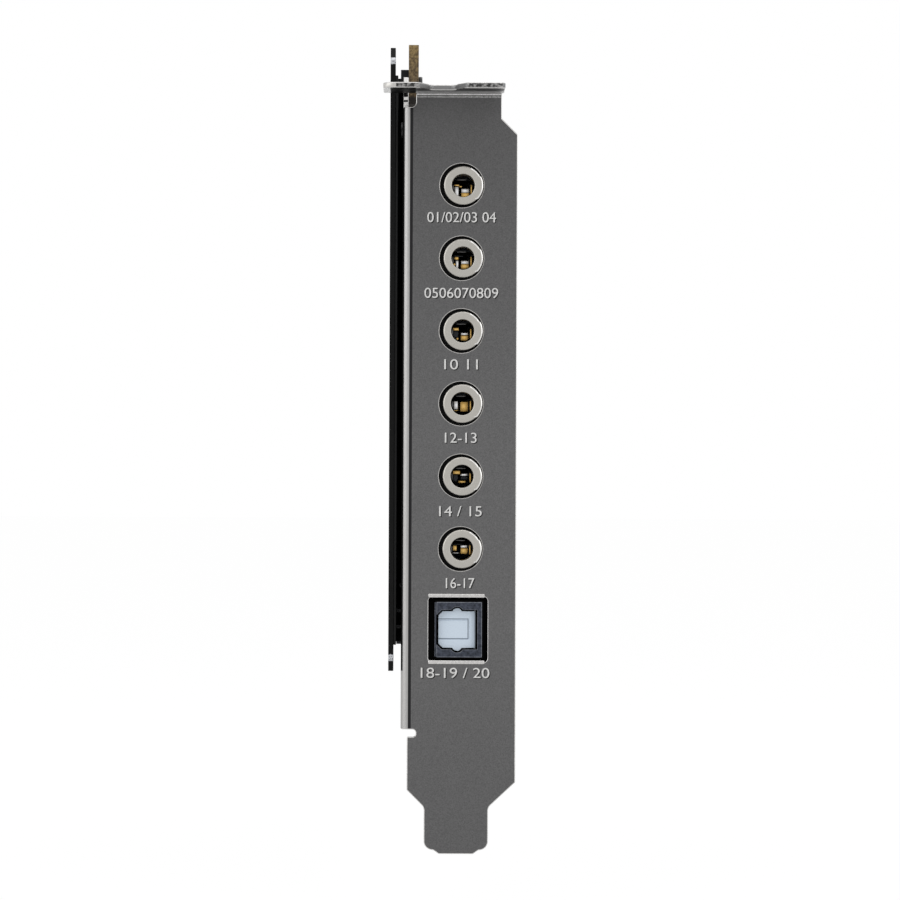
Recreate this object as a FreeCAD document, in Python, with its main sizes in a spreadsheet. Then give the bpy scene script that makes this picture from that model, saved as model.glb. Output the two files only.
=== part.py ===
import FreeCAD, Part
import math
import os
import re
import Sketcher

# A sound card with a full-height rear bracket: six 3.5 mm jacks, one optical socket with a sprung shutter,
# and a black plate over the solder side. The board stands upright in the YZ plane.
#
# X runs across the board, and its component side is +X. Y runs from the bracket into the computer.
# Z is up. The origin is the middle of the board's thickness, at the centre of the edge connector's
# key notch, at the bottom of the fingers. The bracket's outer face looks along -Y.

VECTOR = FreeCAD.Vector
doc = FreeCAD.newDocument("SoundCard")
sheet = doc.addObject("Spreadsheet::Sheet", "Sizes")
nodes = []


# Driving dimensions, in millimetres
SIZES = {
    # Circuit board and edge connector
    "board_thick": 1.6,         # thickness of the board
    "board_top": 109.06,        # top edge of the board above the fingers' tips
    "board_rear": 110.5,        # rear edge of the board from the key notch
    "board_setback": 2.9,       # front edge of the board behind the bracket plate
    "finger_height": 8.25,      # height of the finger tab below the board's main edge
    "finger_front": 12.15,      # front end of the finger tab from the key notch
    "finger_rear": 8.15,        # rear end of the finger tab from the key notch
    "finger_bevel": 1.0,        # bevel at the corners of the finger tab
    "key_width": 1.9,           # width of the key notch
    "key_depth": 7.3,           # depth of the key notch
    "corner_drop": 1.76,        # floor of the board's front top corner cut below the tab's seat
    "corner_reach": 10.9,       # back of the board's front top corner cut behind the plate
    "board_corner": 1.0,        # bevel at the corners of the board
    "pad_pitch": 1.0,           # pitch of the gold fingers
    "pad_width": 0.7,           # width of a gold finger
    "pad_thick": 0.05,          # thickness of a gold finger
    "pad_length": 4.2,          # length of a gold finger
    "pad_lift": 0.6,            # bottom of the gold fingers above the tab's edge
    "first_pad": 1.5,           # first gold finger from the middle of the key notch

    # Bracket
    "sheet_thick": 0.86,        # thickness of the bracket's steel
    "plate_back": 57.15,        # inner face of the bracket plate in front of the key notch
    "seat_height": 100.36,      # underside of the fixing tab above the fingers' tips
    "plate_right": 16.4,        # component side edge of the plate
    "plate_left": 0.66,         # solder side edge of the plate's lower part
    "tongue_left": 2.05,        # solder side edge of the tongue
    "tongue_width": 10.1,       # width of the tongue
    "tongue_tip": 19.2,         # tip of the tongue below the fingers' tips
    "tongue_slope": 0.62,       # height of the step at the tongue's tip
    "tongue_flat": 5.36,        # width of the flat at the tongue's tip
    "tongue_step": 0.9,         # length of the step's slope at the tongue's tip
    "tip_round": 1.4,           # corner radius of the tongue's tip
    "shoulder_round": 1.2,      # corner radius at the top of the tongue
    "tongue_top": 11.87,        # top of the tongue below the fingers' tips
    "shoulder_low": 7.9,        # lower shoulder of the plate below the fingers' tips
    "neck_right": 13.88,        # component side edge of the plate's narrow top
    "neck_left": 0.4,           # solder side edge of the plate's narrow top
    "neck_drop": 3.86,          # narrow top's lower end below the tab's seat
    "flange_top": 98.2,         # top of the folded edge
    "flange_low": 0.37,         # lower end of the folded edge
    "flange_depth": 3.4,        # depth of the folded edge behind the plate's outer face
    "relief_height": 1.2,       # height of the slot under the folded edge
    "relief_reach": 0.72,       # inner end of the slot under the folded edge
    "relief_round": 0.54,       # corner radius of the slot under the folded edge
    "top_round": 0.8,           # corner radius above the folded edge
    "bend_inside": 0.34,        # inside radius of the folded edge
    "tab_bend": 0.44,           # inside radius of the tab's bend
    "tab_reach": 11.43,         # reach of the tab from the plate's outer face
    "tab_left": 4.72,           # solder side edge of the tab
    "tab_width": 18.94,         # width of the tab
    "tab_gap": 0.9,             # gap between the tab's wings and the plate
    "wing_round": 1.7,          # corner radius of the tab's solder side corner
    "tab_round": 1.0,           # radius of the tab's other corners
    "slot_centre": 4.55,        # centre of the tab's screw slot
    "slot_width": 4.42,         # width of the tab's screw slot at its bottom
    "slot_mouth": 7.44,         # width of the tab's screw slot at its mouth
    "slot_depth": 5.13,         # depth of the tab's screw slot
    "slot_flare": 3.5,          # depth of the flared mouth of the tab's screw slot
    "slot_round": 1.1,          # corner radius at the bottom of the tab's screw slot
    "ear_width": 5.0,           # height of the lower ear
    "ear_start": 1.36,          # overlap of the lower ear with the folded edge
    "ear_bevel": 1.5,           # bevel at the corners of the ears
    "ear_front": 1.5,           # front edge of the upper ear behind the plate
    "ear_top": 103.1,           # top of the upper ear above the fingers' tips
    "ear_low": 90.6,            # bottom of the upper ear above the fingers' tips
    "ear_back": 46.5,           # rear edge of the upper ear in front of the key notch

    # Fasteners
    "screw_bore": 3.2,          # clearance hole for a screw
    "screw_shank": 2.9,         # diameter of a screw's shank
    "thread_gap": 0.1,          # hole round a screw's shank, wider by this much
    "head_width": 5.8,          # diameter of a screw's head
    "head_height": 0.6,         # height of a screw's head
    "ear_beyond": 0.4,          # end of a bracket screw beyond its ear
    "cover_short": 0.1,         # end of a black screw short of the black plate
    "upper_screw_y": 50.5,      # upper ear's screw in front of the key notch
    "upper_screw_z": 94.9,      # upper ear's screw above the fingers' tips
    "lower_screw_y": 38.9,      # lower ear's screw in front of the key notch
    "lower_screw_z": 22.4,      # lower ear's screw above the fingers' tips

    # Black plate on the solder side
    "gap_behind": 2.05,         # gap between the board and the black plate
    "plate_thick": 0.8,         # thickness of the black plate
    "cover_low": 13.6,          # lower edge of the black plate
    "cover_top": 103.3,         # upper edge of the black plate
    "cover_front": 56.9,        # front edge of the black plate in front of the key notch
    "cover_rear": 108.5,        # rear edge of the black plate from the key notch
    "cover_corner": 2.0,        # bevel at the corners of the black plate
    "lug_wide": 7.5,            # width of the two lugs at the black plate's front corners
    "lug_rise": 4.5,            # height of the upper lug above the black plate
    "lug_drop": 4.2,            # height of the lower lug below the black plate
    "spacer_shoulder": 7.7,     # width of a spacer's shoulder across its flats
    "spacer_step": 1.25,        # height of a spacer's shoulder
    "spacer_barrel": 5.0,       # width of a spacer's barrel across its flats
    "post_front_y": 42.0,       # front upper spacer in front of the key notch
    "post_low_y": 35.0,         # lower spacer from the key notch
    "post_rear_y": 102.0,       # rear spacer from the key notch
    "post_top_z": 101.4,        # front upper spacer above the fingers' tips
    "post_back_z": 96.5,        # rear spacer above the fingers' tips
    "post_low_z": 18.0,         # lower spacer above the fingers' tips
    "foam_front": 44.6,         # front edge of the insulating sheet in front of the key notch
    "foam_clear": 0.2,          # gap left between the insulating sheet and the board
    "foam_gap": 0.4,            # gap between the insulating sheet and a spacer
    "foam_rear": 3.0,           # rear edge of the insulating sheet inside the black plate's

    # Jacks
    "jack_pitch": 11.43,        # pitch of the jacks
    "jack_top_z": 85.92,        # axis of the top jack above the fingers' tips
    "jack_rise": 7.05,          # axis of a jack above the board
    "jack_hole": 6.9,           # diameter of a jack's hole in the bracket
    "hole_shift": 0.2,          # axis of the hole from the jack's axis, towards the board
    "jack_width": 11.0,         # width of a jack housing along the bracket
    "jack_over": 4.95,          # top of a jack housing beyond the axis
    "jack_depth": 14.0,         # depth of a jack housing
    "jack_gap": 0.3,            # gap between the plate and the jack housings
    "jack_shoulder": 0.8,       # bevel along the top of a jack housing
    "ring_outer": 6.1,          # outer diameter of a jack's ring
    "ring_bore": 3.6,           # bore of a jack's ring
    "ring_proud": 0.35,         # front of a ring beyond the plate's outer face
    "ring_seat": 4.4,           # length of a ring inside its housing
    "chamber_half": 3.4,        # half the width of the contact chamber
    "chamber_depth": 7.4,       # depth of the contact chamber behind the ring
    "strip_thick": 0.3,         # thickness of a contact strip
    "sleeve_tail": -0.65,       # middle of the sleeve contact's tail from the jack's axis
    "switch_tail": -0.85,       # middle of the switch contact's tail from the jack's axis
    "tip_tail": 1.95,           # middle of the tip contact's tail from the jack's axis
    "bridge_width": 0.6,        # width of the bridge from the tip contact to its tail
    "tail_length": 0.75,        # length of a contact's tail beyond the board
    "tail_gap": 0.15,           # clearance round a tail or a lead in the board
    "tail_width": 0.9,          # width of a contact's tail

    # Optical socket
    "optic_z": 16.08,           # axis of the optical socket above the fingers' tips
    "optic_rise": 6.37,         # axis of the optical socket above the board
    "window_wide": 9.3,         # width of the bracket's window across the board
    "window_tall": 10.4,        # height of the bracket's window
    "window_shift": 0.13,       # window's centre beyond the socket's axis
    "window_corner": 0.75,      # corner radius of the window
    "nose_left": 3.52,          # nose's edge from the socket's axis, towards the board
    "nose_right": 4.18,         # nose's edge from the socket's axis, away from the board
    "nose_half": 4.62,          # half the height of the nose
    "nose_proud": 0.15,         # front of the nose beyond the plate's outer face
    "nose_bevel": 0.3,          # bevel round the nose's front
    "lip_thick": 0.6,           # thickness of the lip round the socket's opening
    "optic_depth": 13.6,        # depth of the optical housing behind the plate
    "foot_setback": 2.2,        # lower part of the housing behind the nose's front
    "collar_gap": 0.2,          # gap between the bracket and the housing's collar
    "collar_thick": 1.2,        # thickness of the housing's collar
    "collar_over": 0.9,         # reach of the housing's collar beyond the nose
    "open_left": 3.22,          # opening's edge from the axis, towards the board
    "open_right": 3.18,         # opening's edge from the axis, away from the board
    "open_half": 3.1,           # half the height of the opening
    "open_cut": 0.8,            # corner cut of the opening on the board's side
    "key_radius": 1.05,         # radius of the opening's two key grooves
    "key_centre": 2.55,         # centre of the key grooves from the axis
    "cavity_half": 3.75,        # half the height of the cavity behind the lip
    "cavity_left": 3.5,         # cavity's edge from the axis, towards the board
    "cavity_right": 3.7,        # cavity's edge from the axis, away from the board
    "cavity_depth": 7.6,        # depth of the cavity behind the lip
    "fibre_bore": 3.3,          # bore for the fibre's tip
    "fibre_depth": 2.0,         # depth of the fibre bore
    "hinge_shift": 2.88,        # hinge axis from the socket's axis, away from the board
    "hinge_back": 0.65,         # hinge axis behind the lip
    "flap_thick": 0.7,          # thickness of the shutter
    "flap_gap": 0.1,            # gap between the lip and the shutter
    "flap_left": 3.0,           # shutter's free edge from the axis, towards the board
    "flap_half": 2.95,          # half the height of the shutter
    "flap_cut": 0.7,            # corner cut of the shutter's free edge
    "flap_key": 0.85,           # radius of the shutter's two rounded ears
    "flap_key_centre": 2.6,     # centre of the shutter's rounded ears from the axis
    "barrel_wide": 1.1,         # diameter of the shutter's hinge barrel
    "pin_wide": 0.6,            # diameter of the hinge pin
    "pin_clear": 0.04,          # radial clearance of the shutter on its pin
    "pin_seat": 0.45,           # length of the pin held at each end
    "panel_half": 1.55,         # half the height of the shutter's outlined panel
    "panel_right": 1.9,         # end of the shutter's outlined panel from the axis
    "groove_wide": 0.14,        # width of the panel's outline groove
    "groove_deep": 0.12,        # depth of the panel's outline groove
    "leaf_thick": 0.15,         # thickness of the shutter's spring
    "leaf_wide": 0.6,           # width of the shutter's spring
    "leaf_bend": 0.4,           # bend radius of the shutter's spring
    "leaf_knee": 1.5,           # bend of the shutter's spring behind the hinge axis
    "leaf_root": 5.0,           # rear end of the shutter's spring behind the hinge axis
    "lead_pitch": 2.54,         # pitch of the light source's leads
    "lead_wide": 0.5,           # width of a lead
    "lead_length": 1.6,         # length of a lead beyond the board
    "lead_back": 1.92,          # leads behind the light source's front
    "emitter_half": 2.7,        # half the width of the light source
    "emitter_deep": 3.2,        # depth of the light source
    "emitter_gap": 0.1,         # gap round the light source

    # Parts on the board
    "chip_thick": 1.5,          # thickness of a small chip's body
    "chip_wide": 5.3,           # width of a small chip's body
    "chip_long": 10.2,          # length of a small chip's body
    "converter_y": 1.0,         # output converters' centres from the key notch
    "converter_z": 70.0,        # lower output converter above the fingers' tips
    "converter_pitch": 13.5,    # pitch of the output converters
    "input_y": 14.0,            # input converter's centre from the key notch
    "input_z": 77.0,            # input converter above the fingers' tips
    "driver_y": -10.5,          # headphone amplifier's centre from the key notch
    "driver_z": 29.5,           # headphone amplifier above the fingers' tips
    "driver_wide": 7.5,         # width of the headphone amplifier's body
    "driver_long": 12.8,        # length of the headphone amplifier's body
    "processor_side": 17.0,     # side of the audio processor
    "processor_thick": 1.4,     # thickness of the audio processor
    "processor_base": 0.5,      # thickness of the processor's base
    "processor_lift": 0.3,      # gap under the processor
    "processor_margin": 1.2,    # width of the processor's base outside its cap
    "cap_slope": 12,            # slope of the sides of the processor's cap, in degrees
    "processor_y": 6.0,         # processor's centre from the key notch
    "processor_z": 47.0,        # processor's centre above the fingers' tips
    "bridge_side": 9.0,         # side of the bus bridge chip
    "bridge_thick": 0.9,        # thickness of the bus bridge chip
    "bridge_y": 2.5,            # bridge's centre from the key notch
    "bridge_z": 23.0,           # bridge's centre above the fingers' tips
    "socket_long": 10.2,        # length of an amplifier's socket
    "socket_wide": 10.0,        # width of an amplifier's socket
    "socket_tall": 4.2,         # height of an amplifier's socket
    "socket_wall": 1.5,         # end walls of an amplifier's socket
    "socket_open": 5.0,         # width of the opening in an amplifier's socket
    "socket_notch": 2.0,        # width of the notch in an amplifier's socket
    "notch_deep": 0.8,          # depth of the notch in an amplifier's socket
    "amp_long": 9.4,            # length of an amplifier's body
    "amp_wide": 6.4,            # width of an amplifier's body
    "amp_tall": 3.3,            # height of an amplifier's body
    "amp_lift": 0.5,            # gap between an amplifier's body and its socket
    "amp_column": -34.0,        # column of the amplifiers from the key notch
    "amp_pitch": 17.5,          # pitch of the amplifiers
    "amp_low": 46.0,            # lowest amplifier above the fingers' tips
    "leg_row": 7.62,            # distance between an amplifier's two rows of legs
    "leg_pitch": 2.54,          # pitch of an amplifier's legs
    "leg_width": 1.2,           # width of an amplifier's leg
    "leg_thick": 0.25,          # thickness of an amplifier's leg
    "can_wide": 6.3,            # diameter of a signal capacitor
    "can_tall": 7.2,            # height of a signal capacitor
    "can_column": -22.0,        # first column of signal capacitors from the key notch
    "low_can_z": 23.5,          # lowest signal capacitor above the fingers' tips
    "tank_wide": 8.0,           # diameter of a supply capacitor
    "tank_tall": 11.4,          # height of a supply capacitor
    "tank_y": 60.0,             # first column of supply capacitors from the key notch
    "tank_z": 78.0,             # lower row of supply capacitors above the fingers' tips
    "tank_spacing": 10.5,       # distance between supply capacitors
    "crystal_long": 11.0,       # length of a crystal's can
    "crystal_wide": 4.6,        # width of a crystal's can
    "crystal_tall": 3.6,        # height of a crystal's can
    "crystal_brim": 0.5,        # width and height of the brim round a crystal's can
    "crystal_bevel": 1.1,       # bevel of a crystal's can
    "crystal_y": 27.0,          # crystals' centres from the key notch
    "crystal_z": 52.0,          # lower crystal above the fingers' tips
    "crystal_spacing": 8.0,     # distance between the crystals
    "supply_z": 30.0,           # lowest regulator above the fingers' tips
    "supply_pitch": 14.0,       # pitch of the regulators and their inductors
    "regulator_y": 86.0,        # front of the regulators' bodies from the key notch
    "regulator_wide": 6.6,      # width of a regulator's body
    "regulator_deep": 6.1,      # depth of a regulator's body
    "regulator_tall": 2.3,      # height of a regulator's body
    "regulator_tab": 1.2,       # reach of a regulator's cooling tab
    "regulator_tab_wide": 5.3,  # width of a regulator's cooling tab
    "regulator_leg": 2.6,       # length of a regulator's leg
    "regulator_sheet": 0.5,     # thickness of a regulator's tab and legs
    "inductor_y": 74.0,         # inductors' centres from the key notch
    "inductor_side": 7.3,       # side of a power inductor
    "inductor_tall": 4.0,       # height of a power inductor
    "inductor_bevel": 1.1,      # bevel of a power inductor
    "relay_y": -20.0,           # first relay's centre from the key notch
    "relay_z": 97.0,            # relays' centres above the fingers' tips
    "relay_pitch": 12.0,        # pitch of the relays
    "relay_long": 10.0,         # length of an output relay
    "relay_wide": 6.8,          # width of an output relay
    "relay_tall": 5.6,          # height of an output relay
    "small_long": 2.0,          # length of a small part
    "small_wide": 1.25,         # width of a small part
    "small_pitch": 2.1,         # pitch of the small parts
    "small_margin": 2.0,        # small parts beside the audio processor's edge
    "small_column": 66.0,       # column of small parts at the supply from the key notch
    "ceramic_tall": 1.1,        # height of a ceramic capacitor
    "resistor_tall": 0.5,       # height of a chip resistor
    "header_y": 102.0,          # front panel header's centre from the key notch
    "header_z": 62.0,           # front panel header's centre above the fingers' tips
    "header_pitch": 2.54,       # pitch of the front panel header's pins
    "header_base": 2.5,         # height of the header's moulded base
    "header_pin": 0.64,         # side of a header's pin
    "header_tall": 8.6,         # height of the header's pins above the board
}

for row, (name, value) in enumerate(SIZES.items(), start=1):
    sheet.set(f"A{row}", name.replace("_", " "))
    sheet.set(f"B{row}", str(value))
    sheet.setAlias(f"B{row}", name)
doc.recompute()


def read(name):
    """The number that a cell of the sheet holds."""
    return float(sheet.get(name))


# Helpers for expressions, sketches and features

def on_sheet(text):
    """Point every alias in an expression to its cell."""
    def cell(match):
        word = match.group(0)
        return "Sizes." + word if word in SIZES else word
    return re.sub(r"[a-z]\w*", cell, str(text))


def bind(item, **expressions):
    """Tie properties of an object to expressions on the sheet."""
    for name, text in expressions.items():
        item.setExpression(name, on_sheet(text))


def place(item, x=0, y=0, z=0):
    """Tie an object's position to expressions on the sheet."""
    for axis, text in zip("xyz", (x, y, z)):
        item.setExpression("Placement.Base." + axis, on_sheet(text))


def node(item, label):
    """Name an object as one of the card's pieces."""
    item.Label = label
    nodes.append(item)
    return item


def new_body(label):
    return node(doc.addObject("PartDesign::Body", "Body_" + label), label)


def new_sketch(body, name, role, offset=0):
    """A sketch on one of the body's own planes, moved along the plane's normal."""
    sketch = body.newObject("Sketcher::SketchObject", name)
    plane = [feature for feature in body.Origin.OriginFeatures if feature.Role == role][0]
    sketch.AttachmentSupport = [(plane, "")]
    sketch.MapMode = "FlatFace"
    sketch.setExpression("AttachmentOffset.Base.z", on_sheet(offset))
    return sketch


def fix_point(sketch, geometry, point, x, y, start):
    """Hold a point of the sketch at two expressions, measured from the sketch's origin."""
    for kind, text, begin in (("DistanceX", x, start.x), ("DistanceY", y, start.y)):
        index = sketch.addConstraint(Sketcher.Constraint(kind, -1, 1, geometry, point, begin))
        sketch.setExpression(f"Constraints[{index}]", on_sheet(text))


def add_polygon(sketch, points):
    """A closed outline with straight sides through points given as expressions."""
    count = len(points)
    first = sketch.GeometryCount
    angles = [2 * math.pi * i / count for i in range(count)]
    start = [VECTOR(math.cos(angle), math.sin(angle), 0) for angle in angles]
    for i in range(count):
        sketch.addGeometry(Part.LineSegment(start[i], start[(i + 1) % count]), False)
    for i in range(count):
        joint = Sketcher.Constraint("Coincident", first + i, 2, first + (i + 1) % count, 1)
        sketch.addConstraint(joint)
    for i, (x, y) in enumerate(points):
        fix_point(sketch, first + i, 1, x, y, start[i])


def add_rectangle(sketch, low_x, low_y, high_x, high_y):
    add_polygon(sketch, [(low_x, low_y), (high_x, low_y), (high_x, high_y), (low_x, high_y)])


def add_circle(sketch, x, y, diameter):
    centre = VECTOR(1, 1, 0)
    index = sketch.addGeometry(Part.Circle(centre, VECTOR(0, 0, 1), 1), False)
    fix_point(sketch, index, 3, x, y, centre)
    held = sketch.addConstraint(Sketcher.Constraint("Diameter", index, 2.0))
    sketch.setExpression(f"Constraints[{held}]", on_sheet(diameter))


def pad(body, name, sketch, length, back=False, both=False):
    """Add material along the sketch's normal, against it, or to both sides."""
    feature = body.newObject("PartDesign::Pad", name)
    feature.Profile = sketch
    feature.Reversed = back
    if both:
        feature.SideType = "Symmetric"
    bind(feature, Length=length)
    return feature


def pocket(body, name, sketch, length=None, back=False, both=False):
    """Cut material to a depth, or right through to both sides where no depth is given."""
    feature = body.newObject("PartDesign::Pocket", name)
    feature.Profile = sketch
    feature.Reversed = back
    if both or length is None:
        feature.SideType = "Symmetric"
    if length is None:
        feature.Type = "ThroughAll"
    else:
        bind(feature, Length=length)
    return feature


def near(point, target, reach=0.02):
    """True where a point lies at a target, whose unknown coordinates are None."""
    pairs = zip((point.x, point.y, point.z), target)
    return all(want is None or abs(have - want) < reach for have, want in pairs)


def edges_at(feature, targets, along=None):
    """Names of the edges whose middles lie at one of the targets and that run along a direction."""
    found = []
    for index, edge in enumerate(feature.Shape.Edges, start=1):
        halfway = (edge.FirstParameter + edge.LastParameter) / 2
        tangent = edge.tangentAt(halfway)
        if along and abs(abs(tangent.dot(VECTOR(*along))) - 1) > 1e-4:
            continue
        if any(near(edge.valueAt(halfway), target) for target in targets):
            found.append(f"Edge{index}")
    return found


def round_edges(body, name, feature, radius, targets, along=None):
    """Round the edges found at the targets."""
    fillet = body.newObject("PartDesign::Fillet", name)
    fillet.Base = (feature, edges_at(feature, targets, along))
    bind(fillet, Radius=radius)
    doc.recompute()
    return fillet


def bevel_edges(body, name, feature, length, targets, along=None):
    """Cut a flat bevel along the edges found at the targets."""
    chamfer = body.newObject("PartDesign::Chamfer", name)
    chamfer.Base = (feature, edges_at(feature, targets, along))
    bind(chamfer, Size=length)
    doc.recompute()
    return chamfer


def box(name, low, lengths):
    """A block from its low corner and side lengths, all as expressions."""
    item = doc.addObject("Part::Box", name)
    bind(item, Length=lengths[0], Width=lengths[1], Height=lengths[2])
    place(item, *low)
    return item


def rod(name, base, diameter, length, turn=None):
    """A cylinder along Z, or turned to run along X or Y."""
    item = doc.addObject("Part::Cylinder", name)
    if turn == "X":
        item.Placement.Rotation = FreeCAD.Rotation(VECTOR(0, 1, 0), 90)
    if turn == "Y":
        item.Placement.Rotation = FreeCAD.Rotation(VECTOR(1, 0, 0), -90)
    bind(item, Radius=f"({diameter}) / 2", Height=length)
    place(item, *base)
    return item


def group(label, items):
    """Separate solids of one kind that share a node."""
    item = doc.addObject("Part::Compound", "Group_" + label)
    item.Links = items
    return node(item, label)


def cut(name, base, tool):
    item = doc.addObject("Part::Cut", name)
    item.Base = base
    item.Tool = tool
    return item


def fuse(name, items):
    item = doc.addObject("Part::MultiFuse", name)
    item.Shapes = items
    return item


# Places that several pieces share

BOARD_FACE = "board_thick / 2"
SOLDER_FACE = "-board_thick / 2"
PLATE_OUTER = "-plate_back - sheet_thick"
FOLD_OUTER = "-board_thick / 2 - sheet_thick"
JACK_X = "board_thick / 2 + jack_rise"
JACK_FRONT = "-plate_back + jack_gap"
OPTIC_X = "board_thick / 2 + optic_rise"
JACK_COUNT = 6
POSTS = [
    ("-post_front_y", "post_top_z"),
    ("post_low_y", "post_low_z"),
    ("post_rear_y", "post_back_z"),
]
EAR_SCREWS = [
    ("-upper_screw_y", "upper_screw_z"),
    ("-lower_screw_y", "lower_screw_z"),
]

# Bends of a jack's three contacts, from the foot to the end of the leaf. Each is a share of the chamber's
# half height above the axis, and a share of the chamber's depth behind the ring.
LEAVES = {
    "sleeve": [(-0.97, 0.838), (-0.853, 0.838), (-0.706, 0.784), (-0.235, 0.257), (-0.529, 0.074)],
    "switch": [(-0.97, 0.953), (-0.176, 0.953), (-0.132, 0.595), (0.235, 0.527)],
    "tip": [(0.603, 0.953), (0.676, 0.419), (0.265, 0.23), (0.47, 0.068)],
}

# The tails run down through the board: distance behind the ring, and height from the axis along the bracket
TAIL_AT = [
    (f"ring_seat + chamber_depth * {bends[0][1]}", f"{name}_tail")
    for name, bends in LEAVES.items()
]

# Optical socket, from the nose's front face
OPTIC_FRONT = "-plate_back - sheet_thick - nose_proud"
CAVITY_BACK = "lip_thick + cavity_depth"
EMITTER_FRONT = "lip_thick + cavity_depth + fibre_depth"
LEAD_Y = f"{OPTIC_FRONT} + {EMITTER_FRONT} + lead_back"
LEAD_STEPS = (-1, 0, 1)


def jack_z(number):
    return f"jack_top_z - jack_pitch * {number - 1}"


# Circuit board: one sheet with the finger tab, its key notch and the cut front top corner

def make_board():
    body = new_body("circuit_board")
    sketch = new_sketch(body, "BoardOutline", "YZ_Plane")
    front = "-plate_back + board_setback"
    add_polygon(sketch, [
        (front, "finger_height"),
        ("-finger_front", "finger_height"),
        ("-finger_front", "finger_bevel"),
        ("-finger_front + finger_bevel", "0"),
        ("-key_width / 2", "0"),
        ("-key_width / 2", "key_depth"),
        ("key_width / 2", "key_depth"),
        ("key_width / 2", "0"),
        ("finger_rear - finger_bevel", "0"),
        ("finger_rear", "finger_bevel"),
        ("finger_rear", "finger_height"),
        ("board_rear", "finger_height"),
        ("board_rear", "board_top"),
        ("-plate_back + corner_reach", "board_top"),
        ("-plate_back + corner_reach", "seat_height - corner_drop"),
        (front, "seat_height - corner_drop"),
    ])
    pad(body, "BoardSlab", sketch, "board_thick", both=True)
    holes = new_sketch(body, "BoardHoles", "YZ_Plane")
    for y, z in POSTS + EAR_SCREWS:
        add_circle(holes, y, z, "screw_bore")
    pocket(body, "BoardHolesCut", holes)
    slots = new_sketch(body, "TailSlots", "YZ_Plane")
    for number in range(1, JACK_COUNT + 1):
        for back, rise in TAIL_AT:
            y = f"{JACK_FRONT} + {back}"
            z = f"{jack_z(number)} + {rise}"
            deep = "(strip_thick / 2 + tail_gap)"
            tall = "(tail_width / 2 + tail_gap)"
            add_rectangle(slots, f"{y} - {deep}", f"{z} - {tall}", f"{y} + {deep}", f"{z} + {tall}")
    for step in LEAD_STEPS:
        z = f"optic_z + lead_pitch * {step}"
        half = "(lead_wide / 2 + tail_gap)"
        add_rectangle(slots, f"{LEAD_Y} - {half}", f"{z} - {half}", f"{LEAD_Y} + {half}", f"{z} + {half}")
    slotted = pocket(body, "TailSlotsCut", slots)
    doc.recompute()
    floor = read("seat_height") - read("corner_drop")
    bevel_edges(body, "BoardCorners", slotted, "board_corner", [
        (None, read("board_rear"), read("board_top")),
        (None, read("board_rear"), read("finger_height")),
        (None, -read("plate_back") + read("corner_reach"), floor),
    ], along=(1, 0, 0))


# Gold fingers: eleven before the key and seven behind it, on both faces

PADS_BEFORE_KEY = 11
PADS_BEHIND_KEY = 7


def make_fingers():
    pads = []
    steps = [f"-first_pad - pad_pitch * {step}" for step in range(PADS_BEFORE_KEY)]
    steps += [f"first_pad + pad_pitch * {step}" for step in range(PADS_BEHIND_KEY)]
    for side, x in (("Front", BOARD_FACE), ("Solder", f"{SOLDER_FACE} - pad_thick")):
        for index, y in enumerate(steps):
            pads.append(box(f"Finger{side}{index}", (x, f"{y} - pad_width / 2", "pad_lift"),
                            ("pad_thick", "pad_width", "pad_length")))
    group("edge_contacts", pads)


make_board()
make_fingers()


# Bracket: one folded sheet. The plate carries the punched holes, its long edge is folded back, two ears of
# that edge lie flat on the board's solder side, and the tab is folded outwards at the top.

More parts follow.
